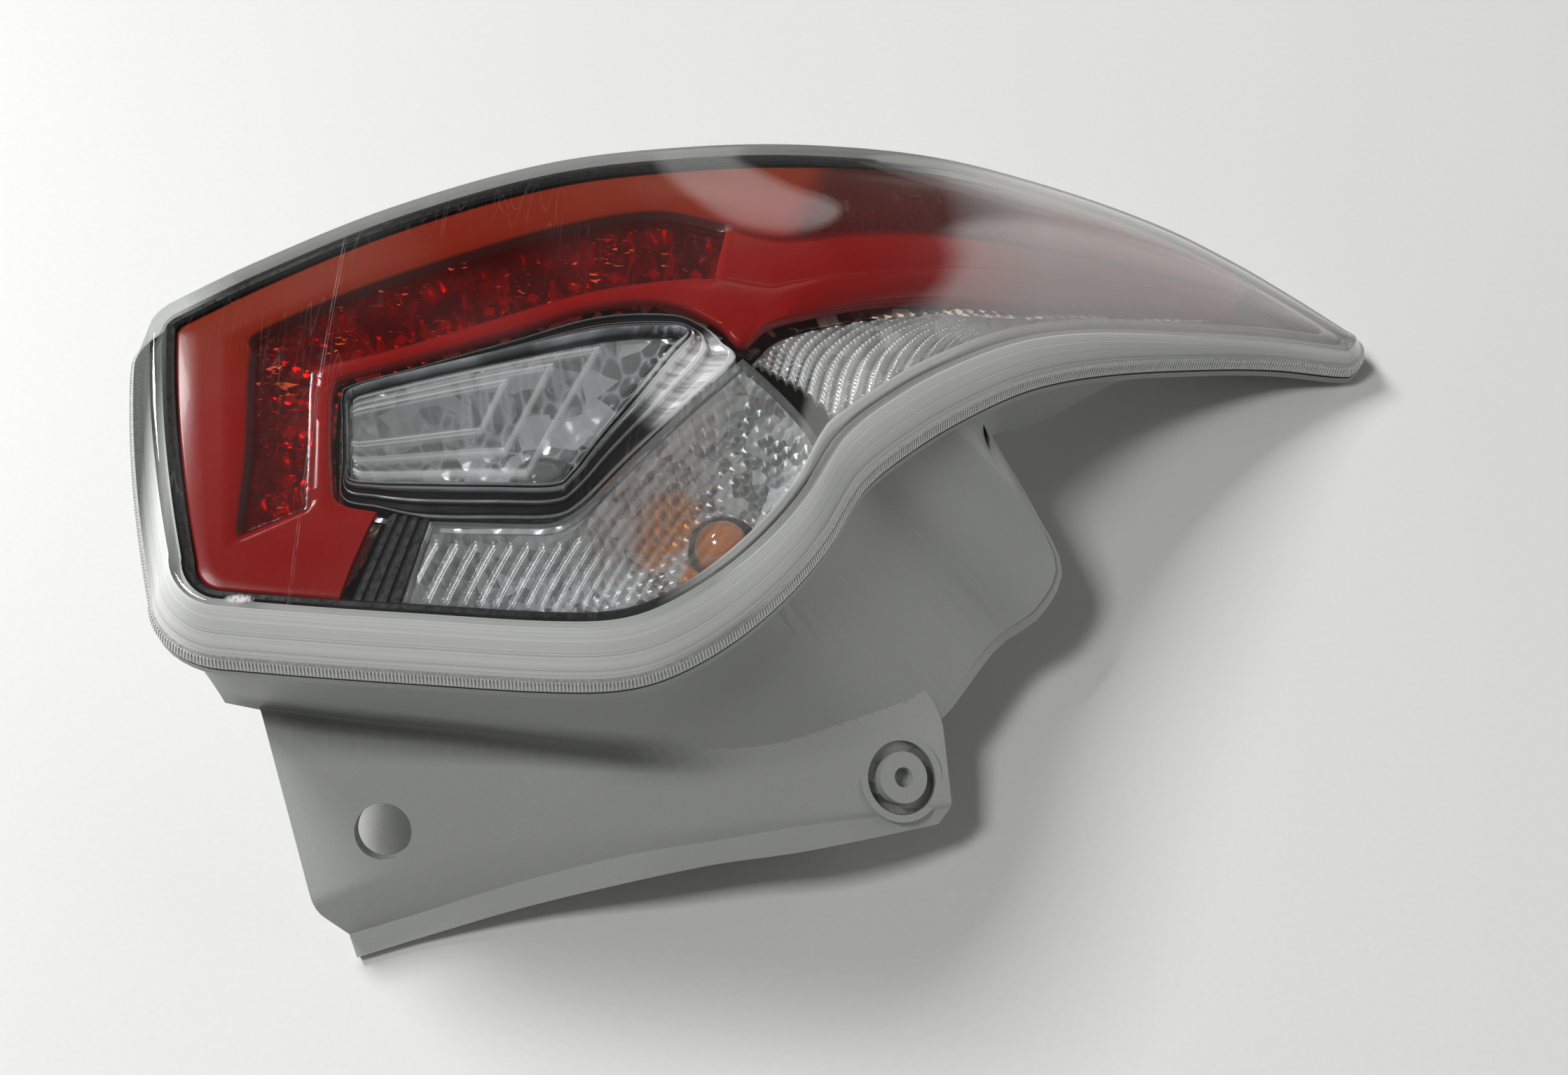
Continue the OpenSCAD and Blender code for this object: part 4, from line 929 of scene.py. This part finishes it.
# Mounting flange: where its crease runs on the wall, its bend and the edges of its lip
CREASE = [(0, 31, 0.95), (0.17, 74, 0.85), (0.36, 116, 0.79), (0.54, 151, 0.73), (0.68, 171, 0.74),
          (0.82, 187, 0.78), (0.92, 202, 0.83), (1, 217, 0.97)]
FLANGE = [
    [(0, 51, -168.5, 22), (0.17, 80, -157.5, 25), (0.36, 117.5, -148.5, 30), (0.54, 156, -145.5, 33.5),
     (0.68, 185, -144, 36), (0.82, 213.5, -140.5, 35), (0.92, 240, -136, 31), (1, 269.5, -129, 23)],
    [(0, 60.5, -170.5, 5.5), (0.17, 84.5, -163.5, 7.5), (0.36, 120, -155, 15), (0.54, 158, -149, 24.5),
     (0.68, 186.5, -146, 29), (0.82, 214.5, -142, 31.5), (0.92, 240, -137, 28.5), (1, 269, -130, 21)],
    [(0, 63.5, -178, 2.8), (0.17, 88, -170.5, 4.5), (0.36, 122.5, -162.5, 11), (0.54, 159.5, -157, 20),
     (0.68, 187.5, -152.5, 24), (0.82, 215.5, -149.5, 27), (0.92, 240, -143.5, 25), (1, 265, -135, 19)]]
FLANGE_THICK = 3
FLANGE_STEPS = 96
BOLT_HOLE_D = 19.5
COLLAR_HIGH = 7
COLLAR_WALL = 2.5
POCKET_D = 26
POCKET_SINK = 3
BOSS_D = 18
BOSS_PROUD = 1.5
BOSS_HOLE_D = 7
BOSS_HOLE_DEEP = 4


def wall_point(x, share):
    tilt = along(NEAR_EDGE, x + 0.5, 1) - along(NEAR_EDGE, x - 0.5, 1)
    n = (tilt / math.hypot(1, tilt), -1 / math.hypot(1, tilt))
    o = flare_at(x, 0) - WALL_IN
    top = (x + n[0] * o, near_y(x) + n[1] * o, along(NEAR_EDGE, x, 2) - drop_at(x) - SEAL_THICK - RIM_THICK)
    return mix(top, keyed(NEAR_BASE, x), share)


def flange_point(row, key):
    if row == 0:
        return wall_point(along(CREASE, key, 1), along(CREASE, key, 2))
    return keyed(FLANGE[row - 1], key)


def flange_sheet(key, share):
    return mix(flange_point(0, key), flange_point(1, key), share)


def flange_normal(key, share=0):
    a = Vector(flange_point(1, key)) - Vector(flange_point(0, key))
    b = Vector(flange_sheet(min(key + 0.05, 1), share)) - Vector(flange_sheet(max(key - 0.05, 0), share))
    return a.cross(b).normalized()


def arc(a, b, c):
    """Six points of a soft bend from a to c round b."""
    return [a * (1 - t) ** 2 + b * 2 * t * (1 - t) + c * t ** 2 for t in (0.0, 0.2, 0.4, 0.6, 0.8, 1.0)]


def flange_shell():
    """The flange: a fillet up the wall, a soft bend, a steep step that dies out and a flat lip."""
    front, back = [], []
    for i in range(FLANGE_STEPS + 1):
        key = i / FLANGE_STEPS
        crease, bend, top, low = (Vector(flange_point(r, key)) for r in range(4))
        climb = Vector(wall_point(along(CREASE, key, 1), along(CREASE, key, 2) - 0.03 - 0.1 * key * key))
        soft, flat = bend.lerp(top, 0.3), bend.lerp(crease, 0.08)
        line = [low, low.lerp(top, 0.5), low.lerp(top, 0.93), top, top.lerp(soft, 0.12), top.lerp(soft, 0.6)]
        line += arc(soft, bend, flat) + [flat.lerp(crease, t) for t in (0.15, 0.3, 0.5, 0.7)]
        line += arc(bend.lerp(crease, 0.9 - 0.1 * key), crease, climb)
        inside = (crease - bend).normalized()
        below = line[:-3] + [crease + inside * t for t in (0.2, 0.6, 1.0)]
        n = flange_normal(key)
        front.append([tuple(p) for p in line])
        back.append([tuple(p - n * FLANGE_THICK) for p in below])
    return shell_parts(front, [], back)[:2]


def rod(centre, normal, low, high, radius, inner=0.0, sides=64):
    """Points and faces of a round bar, or of a tube, along a normal."""
    turn = Vector(normal).normalized().to_track_quat("Z", "Y").to_matrix()
    angles = [2 * math.pi * k / sides for k in range(sides)]
    loops = [(low, radius), (high, radius)] + ([(high, inner), (low, inner)] if inner else [])
    points = [tuple(Vector(centre) + turn @ Vector((r * math.cos(a), r * math.sin(a), h)))
              for h, r in loops for a in angles]
    if inner:
        return points, ring_parts([points[i * sides:(i + 1) * sides] for i in range(4)])[1]
    faces = [(k, (k + 1) % sides, sides + (k + 1) % sides, sides + k) for k in range(sides)]
    return points, faces + [tuple(range(sides, 2 * sides)), tuple(reversed(range(sides)))]


def upright(at, low, high, radius, inner=0.0):
    return rod((*at, 0), (0, 0, 1), low, high, radius, inner)


def joined(parts):
    points, faces = [], []
    for p, f in parts:
        faces += [tuple(i + len(points) for i in face) for face in f]
        points += p
    return points, faces


def carved(obj, *shapes):
    """Cuts round bars out of a piece."""
    cutter = piece("cutter", *joined(shapes))
    cut = obj.modifiers.new("cut", "BOOLEAN")
    cut.operation = "DIFFERENCE"
    cut.solver = "EXACT"
    cut.object = cutter
    applied(obj)
    bpy.data.objects.remove(cutter)
    return obj


# Places on the flange as key and share, and in the tub as x, y and, for stubs, their foot
HOLE_PLACE = (0.15, 0.69)
BOSS_PLACE = (0.955, 0.62)
BULBS = [(128, -42), (190, -66)]
STUBS = [((34, -24), 44, 8), ((330, 82), 24, 8), ((80, 10), 42, 5.4), ((205, 40), 30, 5.4)]
STUB_HIGH = 12
HOLDER_D = 26
HOLDER_SEAT = 33
HOLDER_TOP = 49
SOCKET_WALL = 2.5
# Ends of the bars that cut the holes, and how deep the collar's end is buried
HOLE_CUT = (-12, 9)
TUB_CUT = (20, 60)
BULB_CUT = (40, 135)
CUT_TOP = 12
SUNK = 1.5

hole_at, hole_n = flange_sheet(*HOLE_PLACE), flange_normal(*HOLE_PLACE)
boss_at, boss_n = flange_sheet(*BOSS_PLACE), flange_normal(*BOSS_PLACE)
pocket = rod(boss_at, boss_n, -POCKET_SINK, CUT_TOP, POCKET_D / 2)
flange = piece("flange_part", *flange_shell())
carved(flange, rod(hole_at, hole_n, *HOLE_CUT, BOLT_HOLE_D / 2), pocket)
boss_pad = piece("boss_part", *rod(boss_at, boss_n, -POCKET_SINK - 3, 0, POCKET_D / 2 + COLLAR_WALL))
carved(boss_pad, pocket)
boss_rod = piece("boss_rod", *rod(boss_at, boss_n, -POCKET_SINK - 1, BOSS_PROUD, BOSS_D / 2))
carved(boss_rod, rod(boss_at, boss_n, BOSS_PROUD - BOSS_HOLE_DEEP, CUT_TOP, BOSS_HOLE_D / 2))
tub = piece("tub_part", *tub_shell)
carved(tub, *(upright(p, *TUB_CUT, HOLDER_D / 2) for p in BULBS))
collar = rod(hole_at, hole_n, -COLLAR_HIGH - SUNK, -SUNK, BOLT_HOLE_D / 2 + COLLAR_WALL, BOLT_HOLE_D / 2)
bulb_sockets = [upright(p, HOLDER_SEAT, HOLDER_TOP, HOLDER_D / 2 + SOCKET_WALL, HOLDER_D / 2) for p in BULBS]
stubs = [upright(p, z, z + STUB_HIGH, r) for p, z, r in STUBS]
sockets = piece("sockets", *joined([*bulb_sockets, *stubs, collar]))

# Points along the fold between the flange and the wall, in metres
FOLD = [metres(flange_point(0, k / 60)) for k in range(48)]


def painted_shade(obj):
    """Painted shade of each point of a housing part: a little on its walls, and more where the flange meets
    them.
    """
    wall, reach = (0.24, 0.016) if obj.name.startswith("tub") else (0.0, 0.010)
    made = []
    for v in obj.data.vertices:
        far, key = min(((v.co - q).length, k) for k, q in enumerate(FOLD))
        made.append(max(wall, 0.85 * (1 - smooth(far, 0.002, reach)) * (1 - smooth(key, 32, 46))))
    return made


def merged(name, objects, shade_of=None):
    """One object from several, their meshes put together, with each point's painted shade."""
    points, faces, shade = [], [], []
    for obj in objects:
        first = len(points)
        shade += shade_of(obj) if shade_of else [0.0] * len(obj.data.vertices)
        points += [tuple(v.co) for v in obj.data.vertices]
        faces += [tuple(i + first for i in f.vertices) for f in obj.data.polygons]
        bpy.data.objects.remove(obj)
    return mesh_object(name, points, faces, None, 32, {"shade": shade})


housing = merged("housing_body", [tub, flange, boss_pad, boss_rod, sockets], painted_shade)
dressed(housing, "housing", "grey_housing", GREY)

# Black frame round the chambers
LEDGE_WIDE = 7
LEDGE_GAP = 0.7
DEEPEST = 0.9
FRAME_TOP = 2.0
FRAME_FOOT_IN = 4.5
FRAME_FOOT_MORE = SEAL_THICK - 0.3


def ledge_depth(x):
    return seat_depth(x) + REFLECTOR_WALL + LEDGE_GAP


def frame_ring(m, depth_share, more):
    ring = []
    for p, q in zip(rim_of(face_grid(m, FACE_ROWS)), FACE_RIM):
        low = face_z(*q) - drop_at(q[0]) * DEEPEST
        ring.append((p[0], p[1], max(low, under(p, depth_share * ledge_depth(p[0]) + more)[2])))
    return ring


lip = [frame_ring(FRAME_TOP + m, 0, LENS_WALL + d) for m, d in ((3.4, 1.6), (2.4, 0.7), (0.8, 0.5), (0, 1.2))]
border = piece("border_part", *ring_parts(lip + [
    outer_ring(1, -FRAME_FOOT_IN, 1, FRAME_FOOT_MORE),
    outer_ring(1, -FRAME_FOOT_IN - FRAME_WALL, 1, FRAME_FOOT_MORE),
    outer_ring(0.75, -FRAME_FOOT_IN - FRAME_WALL, DEEPEST),
    frame_ring(FRAME_WALL + LEDGE_WIDE, 1, 0), frame_ring(FRAME_WALL, 1, 0)]))

# Lines of the red lens, keyed 0 to 1 along the near edge, 1 to 2 round the blunt end, 2 to 3 to the tip
RED_START, RED_END, RED_INSET = 70, 405, 5.2
RED_INNER = [(0, 80, -75), (0.45, 70, -73), (0.85, 66, -70), (1, 65, -66), (1.35, 63, -52), (1.7, 62, -38),
             (1.95, 62, -29), (2.03, 65, -24.5), (2.11, 85, -18), (2.22, 118, -6.5), (2.32, 147, 5),
             (2.41, 171, 8), (2.475, 188, 0), (2.53, 197, -8), (2.57, 205, 1), (2.62, 220, 9),
             (2.67, 240, 19), (2.73, 262, 28), (2.8, 288, 38), (2.88, 328, 54), (3, 394, 77)]
BAND_INNER = [(0, 77, -83), (0.45, 64, -82), (0.85, 58, -78), (1, 58, -71), (1.35, 57, -52),
              (1.7, 55.5, -34), (1.95, 55, -25), (2.03, 57, -20), (2.11, 78, -14), (2.22, 110, -2),
              (2.32, 140, 10), (2.41, 165, 17), (2.475, 186, 20), (2.53, 205, 18), (2.57, 214, 21),
              (2.62, 228, 27), (2.67, 247, 34), (2.73, 270, 43), (2.8, 296, 53), (2.88, 332, 65),
              (3, 396, 81)]
BAND_OUTER = [(0, 73, -95), (0.45, 52, -94), (0.85, 38, -89), (1, 36, -80), (1.35, 36, -54),
              (1.7, 33.5, -26), (1.95, 33, -13), (2.03, 34, -6), (2.11, 62, 10), (2.22, 102, 28),
              (2.32, 137, 42), (2.41, 167, 50), (2.475, 190, 46), (2.53, 207, 42), (2.57, 220, 44),
              (2.62, 236, 49), (2.67, 255, 54), (2.73, 280, 60), (2.8, 303, 66), (2.88, 338, 74),
              (3, 398, 85)]
BAND_FIRST, BAND_LAST = 0.95, 2.475
BAND_SINK, CREASE_SINK = 3, 0.9
# Columns of the red lens that lie in its creases, and how much painted shade they get; those of its light
# channel
CREASE_MARKS = {5: 0.5, 6: 0.6, 7: 0.3, 13: 0.2, 14: 1.0, 15: 1.0}
CHANNEL_COLUMNS = range(6, 14)
RED_KEYS = [i / 60 for i in range(60)] + [1 + i / 60 for i in range(60)] + [2 + i / 260 for i in range(258)]


def brim(key, m):
    shorter = (1 + TIP_TAPER) * m
    if key <= 1:
        return near_point((1 - key) * (RED_START - END_SLANT - m) / (LENS_LEN - END_SLANT - shorter), m)
    if key <= 2:
        t = key - 1
        return plus(mix(near_point(0, m), far_point(0, m), t), (-END_BOW * 4 * t * (1 - t), 0))
    return far_point((key - 2) * (RED_END - m) / (LENS_LEN - shorter), m)


def further(a, b, m):
    """A point a little further from a than m, towards b, for a bend that ends sharply."""
    return toward(a, b, m + 0.02 + min(1.0, max(0.0, 0.3 * math.dist(a, b) - m) * 0.5))


def red_row(key):
    """Points across the red lens with how deep each is sunk."""
    a, b, c = keyed(RED_INNER, key), keyed(BAND_INNER, key), keyed(BAND_OUTER, key)
    d = brim(key, RED_INSET)
    past = smooth(key, BAND_LAST - 0.01, BAND_LAST + 0.012)
    inside = smooth(key, BAND_FIRST - 0.03, BAND_FIRST + 0.03) * (1 - past)
    sink = mix(CREASE_SINK, BAND_SINK, inside) if key > 1 else BAND_SINK * inside
    return [(a, 1.2), (toward(a, b, 0.5), 0.5), (toward(a, b, 1.4), 0.0), (mix(a, b, 0.6), 0.0),
            (toward(b, a, 1.2), 0.0), (toward(b, a, 0.4), sink * 0.2), (toward(b, c, 0.5), sink * 0.8),
            (toward(b, c, 1.4), sink), (further(b, c, 1.4), sink),
            (mix(b, c, 0.3), sink), (mix(b, c, 0.5), sink), (mix(b, c, 0.7), sink),
            (further(c, b, 1.6), sink), (toward(c, b, 1.6), sink), (toward(c, b, 0.6), sink * 0.82),
            (toward(c, d, 0.5), sink * 0.22), (toward(c, d, 1.6), 0.0), (mix(c, d, 0.4), 0.0),
            (mix(c, d, 0.65), 0.0), (toward(d, c, 1.8), 0.0), (toward(d, c, 0.7), 0.3), (d, 1.1)]


def red_shell():
    upper, lower, creased, deep = [], [], [], []
    for key in RED_KEYS:
        row = red_row(key)
        upper.append([under(p, red_depth(p[0]) + s) for p, s in row])
        lower.append([under(p, red_depth(p[0]) + s + RED_WALL) for p, s in row])
        faint = smooth(key, 0.9, 1.0) * (1.0 if key < BAND_LAST else 0.45)
        creased += [CREASE_MARKS.get(j, 0.0) * faint for j in range(len(row))]
        # painted shade: the deep mark darkens a stretch of the outer band along the far side
        shaded = smooth(key, 2.53, 2.57) * (1 - 0.8 * smooth(key, 2.74, 2.82))
        deep += [shaded * smooth(j, 14, 16) for j in range(len(row))]
    points, faces, band = shell_parts(upper, [], lower)
    slots = []
    for f, b in zip(faces, band):
        i, j = divmod(min(f) - (len(creased) if b == 2 else 0), len(upper[0]))
        lit = b != 1 and j in CHANNEL_COLUMNS and BAND_FIRST < RED_KEYS[i] < BAND_LAST
        slots.append(1 if lit else 0)
    return piece("red_cover", points, faces, slots, 40, {"crease": creased * 2, "deep": deep * 2})


dressed(red_shell(), "red_inner_lens", "red_lens", RED, CHANNEL)


def patch(near, far, steps, rows):
    """Grid between a near line and a far line, both keyed 0 to 1."""
    grid = []
    for i in range(steps + 1):
        a, b = keyed(near, i / steps), keyed(far, i / steps)
        grid.append([mix(a, b, j / rows) for j in range(rows + 1)])
    return grid


def plate(name, grid, depth_of, wall, ridge_of=None):
    """A plate over a patch: depth_of gives a point's depth under the face from its place and its shares."""
    n, m = len(grid) - 1, len(grid[0]) - 1
    tops = [[depth_of(p, i / n, j / m) for j, p in enumerate(line)] for i, line in enumerate(grid)]
    upper = [[under(p, tops[i][j]) for j, p in enumerate(line)] for i, line in enumerate(grid)]
    lower = [[under(p, tops[i][j] + wall) for j, p in enumerate(line)] for i, line in enumerate(grid)]
    marks = {}
    if ridge_of:
        marks["ridge"] = [ridge_of(i / n, j / m) for i in range(n + 1) for j in range(m + 1)] * 2
    return piece(name, *shell_parts(upper, [], lower)[:2], None, 40, marks)


# Ribbed panel of the frame between the red lens and the indicator
PANEL_NEAR = [(0, 72.5, -106.5), (1, 89, -108)]
PANEL_FAR = [(0, 83.5, -74), (1, 97.5, -75.5)]
PANEL_RIBS = 4
PANEL_SINK = 3.6
PANEL_RIB_DEEP = 1.1


def panel_depth(p, u, v):
    rib = smooth(math.cos(2 * math.pi * PANEL_RIBS * u), -0.2, 0.4)
    return red_depth(p[0]) + PANEL_SINK + PANEL_RIB_DEEP * rib


panel = plate("panel_part", patch(PANEL_NEAR, PANEL_FAR, 96, 8), panel_depth, FRAME_WALL)
dressed(merged("black_border", [border, panel]), "frame", "black_frame", BLACK)

REVERSE_NEAR = [(0, 70, -60), (0.08, 74, -62), (0.5, 104, -62.5), (0.9, 133, -62.5), (1, 139, -59)]
REVERSE_FAR = [(0, 67.5, -31), (0.08, 71, -28.5), (0.5, 120, -14.5), (0.9, 160, -5), (1, 173, -4)]
REVERSE_LONG, REVERSE_WIDE = 100, 45
REVERSE_SINK = 3.4
WEDGE_HIGH, RIDGE_HIGH, RIDGE_WIDE = 0.75, 0.35, 0.7
# Nested wedges on the reverse lens: near share, far share and how far they reach along it
WEDGES = [(0.06, 0.93, 0.80), (0.2, 0.84, 0.66), (0.36, 0.76, 0.52)]


def wedge_sides(u, v):
    """How far inside each wedge a point lies, and how strongly it stands on that wedge's ridge."""
    made = []
    for low, high, reach in WEDGES:
        side = min((v - low) * REVERSE_WIDE, (high - v) * REVERSE_WIDE, (reach - u) * REVERSE_LONG)
        made.append((side, math.exp(-(side / RIDGE_WIDE) ** 2)))
    return made


def reverse_ridge(u, v):
    return max(ridge for _, ridge in wedge_sides(u, v))


def reverse_depth(p, u, v):
    sides = wedge_sides(u, v)
    raised = sum(WEDGE_HIGH * smooth(side, -0.4, 0.4) + RIDGE_HIGH * ridge for side, ridge in sides)
    edge = min(min(u, 1 - u) * REVERSE_LONG, min(v, 1 - v) * REVERSE_WIDE)
    return red_depth(p[0]) + REVERSE_SINK - raised + 1.5 * (1 - smooth(edge, 0.0, 1.4))


reverse = plate("reverse_cover", patch(REVERSE_NEAR, REVERSE_FAR, 150, 66), reverse_depth, CLEAR_WALL,
                reverse_ridge)
dressed(reverse, "reverse_inner_lens", "inner_clear", OPTIC)

REVERSE_RIM_NEAR = [(0, 65.4, -66.5), (0.06, 68, -71), (0.15, 80, -74.3), (0.35, 97, -77.5),
                    (0.65, 124, -78.4), (0.9, 137.5, -77.7), (1, 145.3, -72.5)]
REVERSE_RIM_FAR = [(0, 62.6, -28.5), (0.04, 65.3, -25), (0.25, 85, -18.5), (0.5, 118, -7), (0.7, 147, 4.4),
                   (0.85, 170, 7.2), (0.95, 186, 0.2), (1, 196, -11.5)]
BOWL_DEEP = 30
BULB_HOLE_D = 23


def bowl(u_low, u_high, v_low, v_high):
    """Depth of a bowl that fills the given shares of its patch."""
    def hollow(t, low, high):
        return math.sin(math.pi * clamp((t - low) / (high - low)))

    def depth_of(p, u, v):
        share = hollow(u, u_low, u_high) * hollow(v, v_low, v_high)
        return seat_depth(p[0]) + BOWL_DEEP * min(1, 1.15 * math.sqrt(max(0, share)))
    return depth_of


def reflector(name, grid, depth_of, bulb, node, finish):
    """A metallised plate, with a hole for a bulb if it has one."""
    obj = plate(name, grid, depth_of, REFLECTOR_WALL)
    if bulb:
        carved(obj, upright(bulb, *BULB_CUT, BULB_HOLE_D / 2))
    dressed(obj, node, "metallised", finish)


reflector("reverse_bowl", patch(REVERSE_RIM_NEAR, REVERSE_RIM_FAR, 64, 40), bowl(0.05, 0.88, 0.24, 0.88),
          BULBS[0], "reverse_reflector", SILVER)

SIDE_GAP = 6.5


def inset_line(start, end, steps):
    return [(i / steps, *near_inset(mix(start, end, i / steps), SIDE_GAP)) for i in range(steps + 1)]


INDICATOR_NEAR = inset_line(90, 222, 10)
INDICATOR_FAR = [(0, 97, -78), (0.15, 110, -78.5), (0.3, 126, -79), (0.4, 137, -78.5), (0.5, 146, -73),
                 (0.6, 154, -63.5), (0.7, 163, -52.5), (0.85, 180, -32.5), (1, 197, -13)]
INDICATOR_LONG, INDICATOR_WIDE = 140, 36
# The flutes of the indicator lens are arcs round one far point, closer together towards the bezel
FLUTE_CENTRE = (380, -215)
FLUTE_RADIUS = 288
FLUTE_DEEP = 1.1


def flute_depth(p, u, v):
    r = math.dist(p[:2], FLUTE_CENTRE) - FLUTE_RADIUS
    wave = abs(math.sin(math.pi * (0.2 * r - 0.00098 * r * r)))
    side = min(min(v, 1 - v) * INDICATOR_WIDE, min(u, 1 - u) * INDICATOR_LONG)
    upper_band = smooth(v * INDICATOR_WIDE, 26, 28) * (1 - smooth(u, 0.45, 0.52))
    inner = smooth(side, 1.5, 2.5) * (1 - 0.9 * upper_band)
    return red_depth(p[0]) + 1.0 + FLUTE_DEEP * (1 - wave) * inner + 0.8 * (1 - smooth(side, 0.0, 1.0))


indicator = plate("indicator_cover", patch(INDICATOR_NEAR, INDICATOR_FAR, 230, 64), flute_depth, CLEAR_WALL)
dressed(indicator, "indicator_inner_lens", "inner_clear", FLUTE_OPTIC)
reflector("indicator_bowl", patch(INDICATOR_NEAR, INDICATOR_FAR, 72, 28), bowl(0, 1, 0, 1),
          BULBS[1], "indicator_reflector", SILVER_AMBER)

SIDE_NEAR = inset_line(231, 330, 8)
SIDE_FAR = [(0, 200, -10), (0.1, 207, -0.5), (0.2, 217, 6), (0.35, 237, 16.5), (0.5, 258, 25.5),
            (0.7, 286, 36.5), (0.85, 306, 44.5), (1, 327, 52.5)]
SIDE_FLUTES = 15
SIDE_WIDE = 45
SIDE_FLUTE_HIGH = 3.0


def side_depth(p, u, v):
    wave = abs(math.sin(math.pi * SIDE_FLUTES * (u - 0.62 * v + 0.06 * math.sin(math.pi * v))))
    inner = smooth(min(v, 1 - v) * SIDE_WIDE, 0.8, 3.0)
    return seat_depth(p[0]) - SIDE_FLUTE_HIGH * wave * inner + 1.5 * math.sin(math.pi * v)


reflector("side_bowl", patch(SIDE_NEAR, SIDE_FAR, 260, 40), side_depth, None, "side_reflector", FLUTED)

# Bezel round the reverse light: outer and inner line, with ridges between them
TRIM = [(96, -76, 90, -64), (120, -76.5, 115, -64.5), (137, -76, 136, -64.5), (146, -70.5, 142, -60),
        (159, -55, 150, -47), (177, -34, 161, -30), (194, -13, 172, -12), (190, -6, 178, -4.5),
        (184, 0, 177, -2), (172, 5, 172, -1.5), (147, 2.5, 150, -4), (118, -8.5, 120, -12.5),
        (88, -19, 90, -21), (67, -26, 70, -27.5), (64, -30, 66, -31.5), (65, -40, 67, -41),
        (66.5, -55, 68.5, -55), (68, -69, 69.5, -62.5), (80, -72.5, 78, -64)]
# Share of the way from the outer to the inner line, share of the depth, and 1 on a ridge with a painted
# highlight
TRIM_SECTION = [(0.0, 1.0, 0), (0.0, 0.42, 0), (0.04, 0.34, 1), (0.1, 0.34, 1), (0.14, 0.5, 0),
                (0.3, 0.62, 0), (0.46, 0.55, 0), (0.5, 0.36, 1), (0.56, 0.34, 1), (0.6, 0.45, 0),
                (0.74, 0.36, 0), (0.8, 0.18, 1), (0.86, 0.14, 1), (0.92, 0.3, 0), (0.97, 0.12, 1),
                (1.0, 0.12, 1), (1.0, 1.0, 0)]
TRIM_GAP = 0.3


def closed_curve(rows, steps):
    """Smooth closed line through rows of numbers, Catmull-Rom, with steps points to a row."""
    n = len(rows)
    made = []
    for i in range(n):
        a, b, c, d = rows[i - 1], rows[i], rows[(i + 1) % n], rows[(i + 2) % n]
        for s in range(steps):
            t = s / steps
            made.append(tuple(0.5 * (2 * q + (r - p) * t + (2 * p - 5 * q + 4 * r - w) * t * t
                                     + (3 * q - p - 3 * r + w) * t ** 3) for p, q, r, w in zip(a, b, c, d)))
    return made


TRIM_LINE = closed_curve(TRIM, 8)


def trim_ring(share, depth_share):
    ring = []
    for a, b, c, d in TRIM_LINE:
        p = mix((a, b), (c, d), share)
        ring.append(under(p, mix(red_depth(p[0]), seat_depth(p[0]) - TRIM_GAP, depth_share)))
    return ring


section = TRIM_SECTION[::-1]
trim = ring_parts([trim_ring(share, deep) for share, deep, _ in section])
# painted highlight: this mark paints the bezel's ridges bright
bright = [float(ridge) for _, _, ridge in section for _ in TRIM_LINE]
bezel = piece("bezel", *trim, None, 30, {"ridge": bright})
dressed(bezel, "chrome_trim", "dark_chrome", CHROME)

# Solids that stay, with their finishes
STAYING = {"led_reflector": RED_METAL, "led_board": BOARD, "leds": DIODE, "reverse_bulb_glass": BULB_CLEAR,
           "reverse_bulb_cap": CAP, "reverse_holder": HOLDER, "indicator_bulb_glass": BULB_AMBER,
           "indicator_bulb_cap": CAP, "indicator_holder": HOLDER, "holder_seals": RUBBER,
           "breather_caps": RUBBER, "locating_pins": PIN}
for node, finish in STAYING.items():
    for material_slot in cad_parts[node].material_slots:
        material_slot.material = finish

# Table, lamps and world
floor = placed("table", bpy.data.meshes.new("table"))
floor.data.from_pydata([(-6, -6, 0), (6, -6, 0), (6, 6, 0), (-6, 6, 0)], [], [(0, 1, 2, 3)])
floor.data.materials.append(floor_finish())


def lamp(name, place, aim, size, power):
    light = bpy.data.lights.new(name, "AREA")
    light.shape = "RECTANGLE"
    light.size = size
    light.size_y = size
    light.energy = power
    obj = placed(name, light)
    obj.location = place
    obj.rotation_euler = (Vector(aim) - Vector(place)).to_track_quat("-Z", "Y").to_euler()


lamp("key", (-2.4, 1.95, 2.85), (0, 0, 0.03), 1.1, 144)
lamp("ceiling", (-1.75, -0.2, 3.02), (0, 0, 0.03), 0.8, 47)

world = bpy.data.worlds.new("studio")
bpy.context.scene.world = world
world.use_nodes = True


class Sky(Finish):
    """The same way of writing nodes, for the world."""
    def __init__(self, tree):
        self.start(tree, "ShaderNodeOutputWorld")
        self.place = self.node("ShaderNodeTexCoord", out="Generated")

    def facing(self, direction):
        """How nearly a line of sight runs in a direction, 1 where it does."""
        d = Vector(direction).normalized()
        x, y, z = self.axes()
        return (x * d.x + y * d.y + z * d.z).at_least(0.0)


sky = Sky(world.node_tree)
# Plain room light: darker overhead behind the lamp, brighter in front, a pale wall on the right, a window
level = 0.085 - sky.facing((-0.1, 0.55, 0.83)) ** 4.0 * 0.06 + sky.facing((0, -1, 0.25)) ** 2.0 * 0.05
wall_light = sky.ramp(sky.facing((0.93, 0.3, 0.2)), 0.8, 0.88) * sky.ramp(sky.axes()[2], 0.42, 0.55, 1.0, 0.0)
level = level + wall_light * 1.5 + sky.ramp(sky.facing((0.175, 0.855, 0.485)), 0.994, 0.9965) * 1.3
values = {"Color": (1, 1, 0.985, 1), "Strength": level}
sky.tree.links.new(sky.node("ShaderNodeBackground", values=values).socket, sky.out.inputs["Surface"])
bpy.context.scene.view_settings.view_transform = "Standard"
